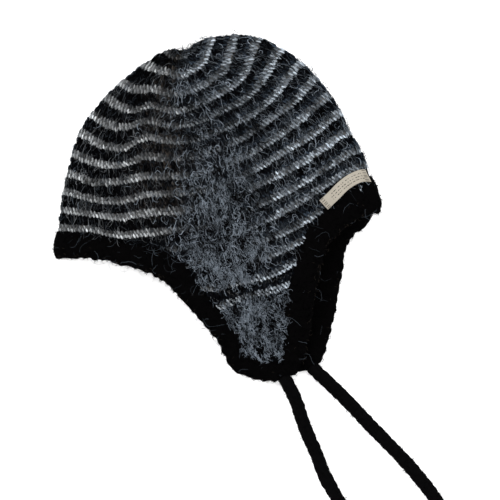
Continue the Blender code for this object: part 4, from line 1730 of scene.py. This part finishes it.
@dataclass
class Tape:
    """The small woven tape sewn on where the crown meets the edging, left plain of words."""

    form: HatForm
    route: Array = field(default_factory=lambda: MM * np.array([
        (85.0, 1.4), (92.6, 8.6), (99.7, 15.8), (106.6, 21.0), (114.0, 24.4), (120.6, 24.8),
    ]))
    width: float = 9.8 * MM
    slant: float = 2.4 * MM
    thickness: float = 0.7 * MM
    over_band: float = 4.9 * MM
    over_knit: float = 2.8 * MM
    curl: float = 0.5 * MM
    columns: int = 60
    rows: int = 16
    sewn: int = 6
    thread: float = 0.22 * MM

    def surface(self) -> Surface:
        """A strip along the rim line: u runs along the tape, v across it from edging to knit.

        Its height is the rim's plus a lift that falls from edging to knit, with curled long
        edges; past the start of the front fold it drops by a circle's arc.

        Returns:
            The strip, mapped by u and v.
        """
        form = self.form
        middle = even_line(self.route, self.columns)
        ahead = unit(np.gradient(middle, axis=0))
        inward = np.column_stack([-ahead[:, 1], ahead[:, 0]])
        across = np.linspace(-1, 1, self.rows)[:, None, None]
        slant = ahead * (np.linspace(-0.2, 1, self.columns)[:, None] ** 3 * self.slant)
        place = middle[None] + across * (inward * self.width / 2 - slant)[None]
        v = (across[..., 0] + 1) / 2
        rim = form.upper_height(place[..., 0], np.maximum(place[..., 1], form.root_y))
        lift = self.over_band + (self.over_knit - self.over_band) * v
        wave = np.cos(np.linspace(0, 9, self.columns))[None]
        curl = self.curl * np.abs(across[..., 0]) ** 4 * wave
        round_fold = form.band / 2 + form.band_fold + self.over_band
        past = np.clip(place[..., 0] - form.edge[-1, 0] + form.band_fold, 0, round_fold)
        height = rim + lift + curl - (round_fold - np.sqrt(round_fold**2 - past**2))
        u = np.linspace(0, 1, self.columns)[None] + 0 * v
        corners = np.stack([u, v + 0 * u], axis=-1).reshape(-1, 2)
        faces = grid_faces(self.rows, self.columns)
        places = np.dstack([place, height]).reshape(-1, 3)
        return Surface(places, faces, None, corners[faces].reshape(-1, 2))

    def sewing(self) -> Surface:
        """Small dark stitches over both ends of the tape: low arches from near to past far.

        Returns:
            The stitches as one surface.
        """
        sheet = self.surface().places.reshape(self.rows, self.columns, 3)
        rows = np.linspace(1, self.rows - 2, self.sewn).astype(int)
        t = np.array([-0.5, 0.1, 0.5, 0.9, 1.3])[None, :, None]
        arch = np.array([-0.8, 0.45, 0.65, 0.45, -0.8])[None, :, None]
        arches = []
        for column, step in ((1, 4), (self.columns - 2, -4)):
            near, far = sheet[rows, column], sheet[rows, column + step]
            arches.append(near[:, None] + (far - near)[:, None] * t + np.array(UP) * MM * arch)
        paths = np.concatenate(arches)
        count = len(paths)
        thick = np.full((count, 3), self.thread)
        tints = np.tile(Yarn.BROWN.rgb * 0.8, (count, 1))
        return strands(paths, np.tile(UP, (count, 1)), thick, 5, tints)

    def build(self) -> None:
        """Make the tape and its sewing."""
        item = self.surface().put("label_tape", TapeFinish().material(), "woven_tape")
        solid = item.modifiers.new("thickness", "SOLIDIFY")
        solid.thickness = self.thickness
        solid.offset = 0.0
        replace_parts(item, "label")
        thread = WoolFinish("sewing_thread", contrast=0.2).material()
        self.sewing().put("label_sewing", thread, "woven_tape")


@dataclass
class Studio:
    """The floor, the light and the camera."""

    centre: tuple[float, float] = (26.4 * MM, -34.4 * MM)
    view_width: float = 400.0 * MM
    distance: float = 6.0
    sensor: float = 36.0
    floor_half: float = 3.0
    floor_drop: float = 0.2 * MM
    sky: float = 0.95

    def build(self) -> None:
        """Make the camera, the floor and the lights."""
        self.camera()
        self.floor()
        self.light("key", (-0.7, 0.9, 1.9), 1.5, 30.0)
        self.light("fill", (1.2, -0.6, 1.8), 1.8, 13.0)
        world = bpy.data.worlds.new("studio")
        world.use_nodes = True
        background = world.node_tree.nodes["Background"]
        background.inputs["Color"].default_value = (1.0, 1.0, 1.0, 1.0)
        background.inputs["Strength"].default_value = self.sky
        bpy.context.scene.world = world
        bpy.context.scene.view_settings.view_transform = "Standard"

    def camera(self) -> None:
        """A long lens straight above the hat, as wide at the floor as the view."""
        data = bpy.data.cameras.new("camera")
        data.sensor_width = self.sensor
        data.lens = self.sensor * self.distance / self.view_width
        item = bpy.data.objects.new("camera", data)
        item.location = (*self.centre, self.distance)
        bpy.context.scene.collection.objects.link(item)
        bpy.context.scene.camera = item

    def floor(self) -> None:
        """A wide level sheet just under the hat."""
        side = np.linspace(-self.floor_half, self.floor_half, 3)
        x, y = np.meshgrid(side, side)
        places = np.column_stack([x.ravel(), y.ravel(), np.full(x.size, -self.floor_drop)])
        mesh = bpy.data.meshes.new("floor")
        mesh.from_pydata(places.tolist(), [], grid_faces(3, 3).tolist())
        mesh.materials.append(FloorFinish().material())
        item = bpy.data.objects.new("floor", mesh)
        bpy.context.scene.collection.objects.link(item)

    def light(self, name: str, place: tuple[float, float, float], size: float, power: float) -> None:
        """A square soft light that faces the hat.

        Args:
            name: The light's name.
            place: Where it stands.
            size: Side of the square.
            power: Its power in watts.
        """
        data = bpy.data.lights.new(name, "AREA")
        data.size = size
        data.energy = power
        item = bpy.data.objects.new(name, data)
        item.location = place
        away = Vector(place) - Vector((*self.centre, 0.0))
        item.rotation_euler = away.to_track_quat("Z", "Y").to_euler()
        bpy.context.scene.collection.objects.link(item)


# Points listed along each cord, from the edging to the knot, the same as the imported ones
TIE_TOP_ROUTE = (
    (0.0550, -0.1382, 0.0132), (0.0572, -0.1426, 0.0124), (0.0612, -0.1505, 0.0104),
    (0.0646, -0.1590, 0.0080), (0.0674, -0.1680, 0.0062), (0.0704, -0.1765, 0.0055),
    (0.0740, -0.1850, 0.0054), (0.0798, -0.1985, 0.0054), (0.0860, -0.2145, 0.0054),
    (0.0948, -0.2305, 0.0054), (0.1050, -0.2465, 0.0054), (0.1170, -0.2615, 0.0054),
    (0.1310, -0.2745, 0.0054), (0.1465, -0.2845, 0.0054),
)
TIE_UNDER_ROUTE = (
    (0.0777, -0.1296, 0.0054), (0.0832, -0.1349, 0.0054), (0.0912, -0.1424, 0.0054),
    (0.0994, -0.1504, 0.0054), (0.1072, -0.1584, 0.0054), (0.1148, -0.1664, 0.0054),
    (0.1222, -0.1744, 0.0054), (0.1302, -0.1824, 0.0054), (0.1380, -0.1904, 0.0054),
    (0.1458, -0.1984, 0.0054), (0.1532, -0.2064, 0.0054), (0.1600, -0.2144, 0.0054),
    (0.1666, -0.2224, 0.0054), (0.1730, -0.2310, 0.0054), (0.1830, -0.2460, 0.0054),
    (0.1915, -0.2615, 0.0054),
)
TIE_TOP_LENGTH = 0.1773
TIE_UNDER_LENGTH = 0.1750


def main() -> None:
    """Build the camera and the cords, then the edging, the knit and the tape."""
    logging.basicConfig(level=logging.INFO, format="%(name)s: %(message)s")
    form = HatForm()
    Studio().build()
    Tie(Layer.TOP, TIE_TOP_ROUTE, TIE_TOP_LENGTH).build()
    Tie(Layer.UNDER, TIE_UNDER_ROUTE, TIE_UNDER_LENGTH).build()
    Edging(form).build()
    Crown(Knitting(form, StripedYarn())).build()
    Tape(form).build()


if __name__ == "__main__":
    main()
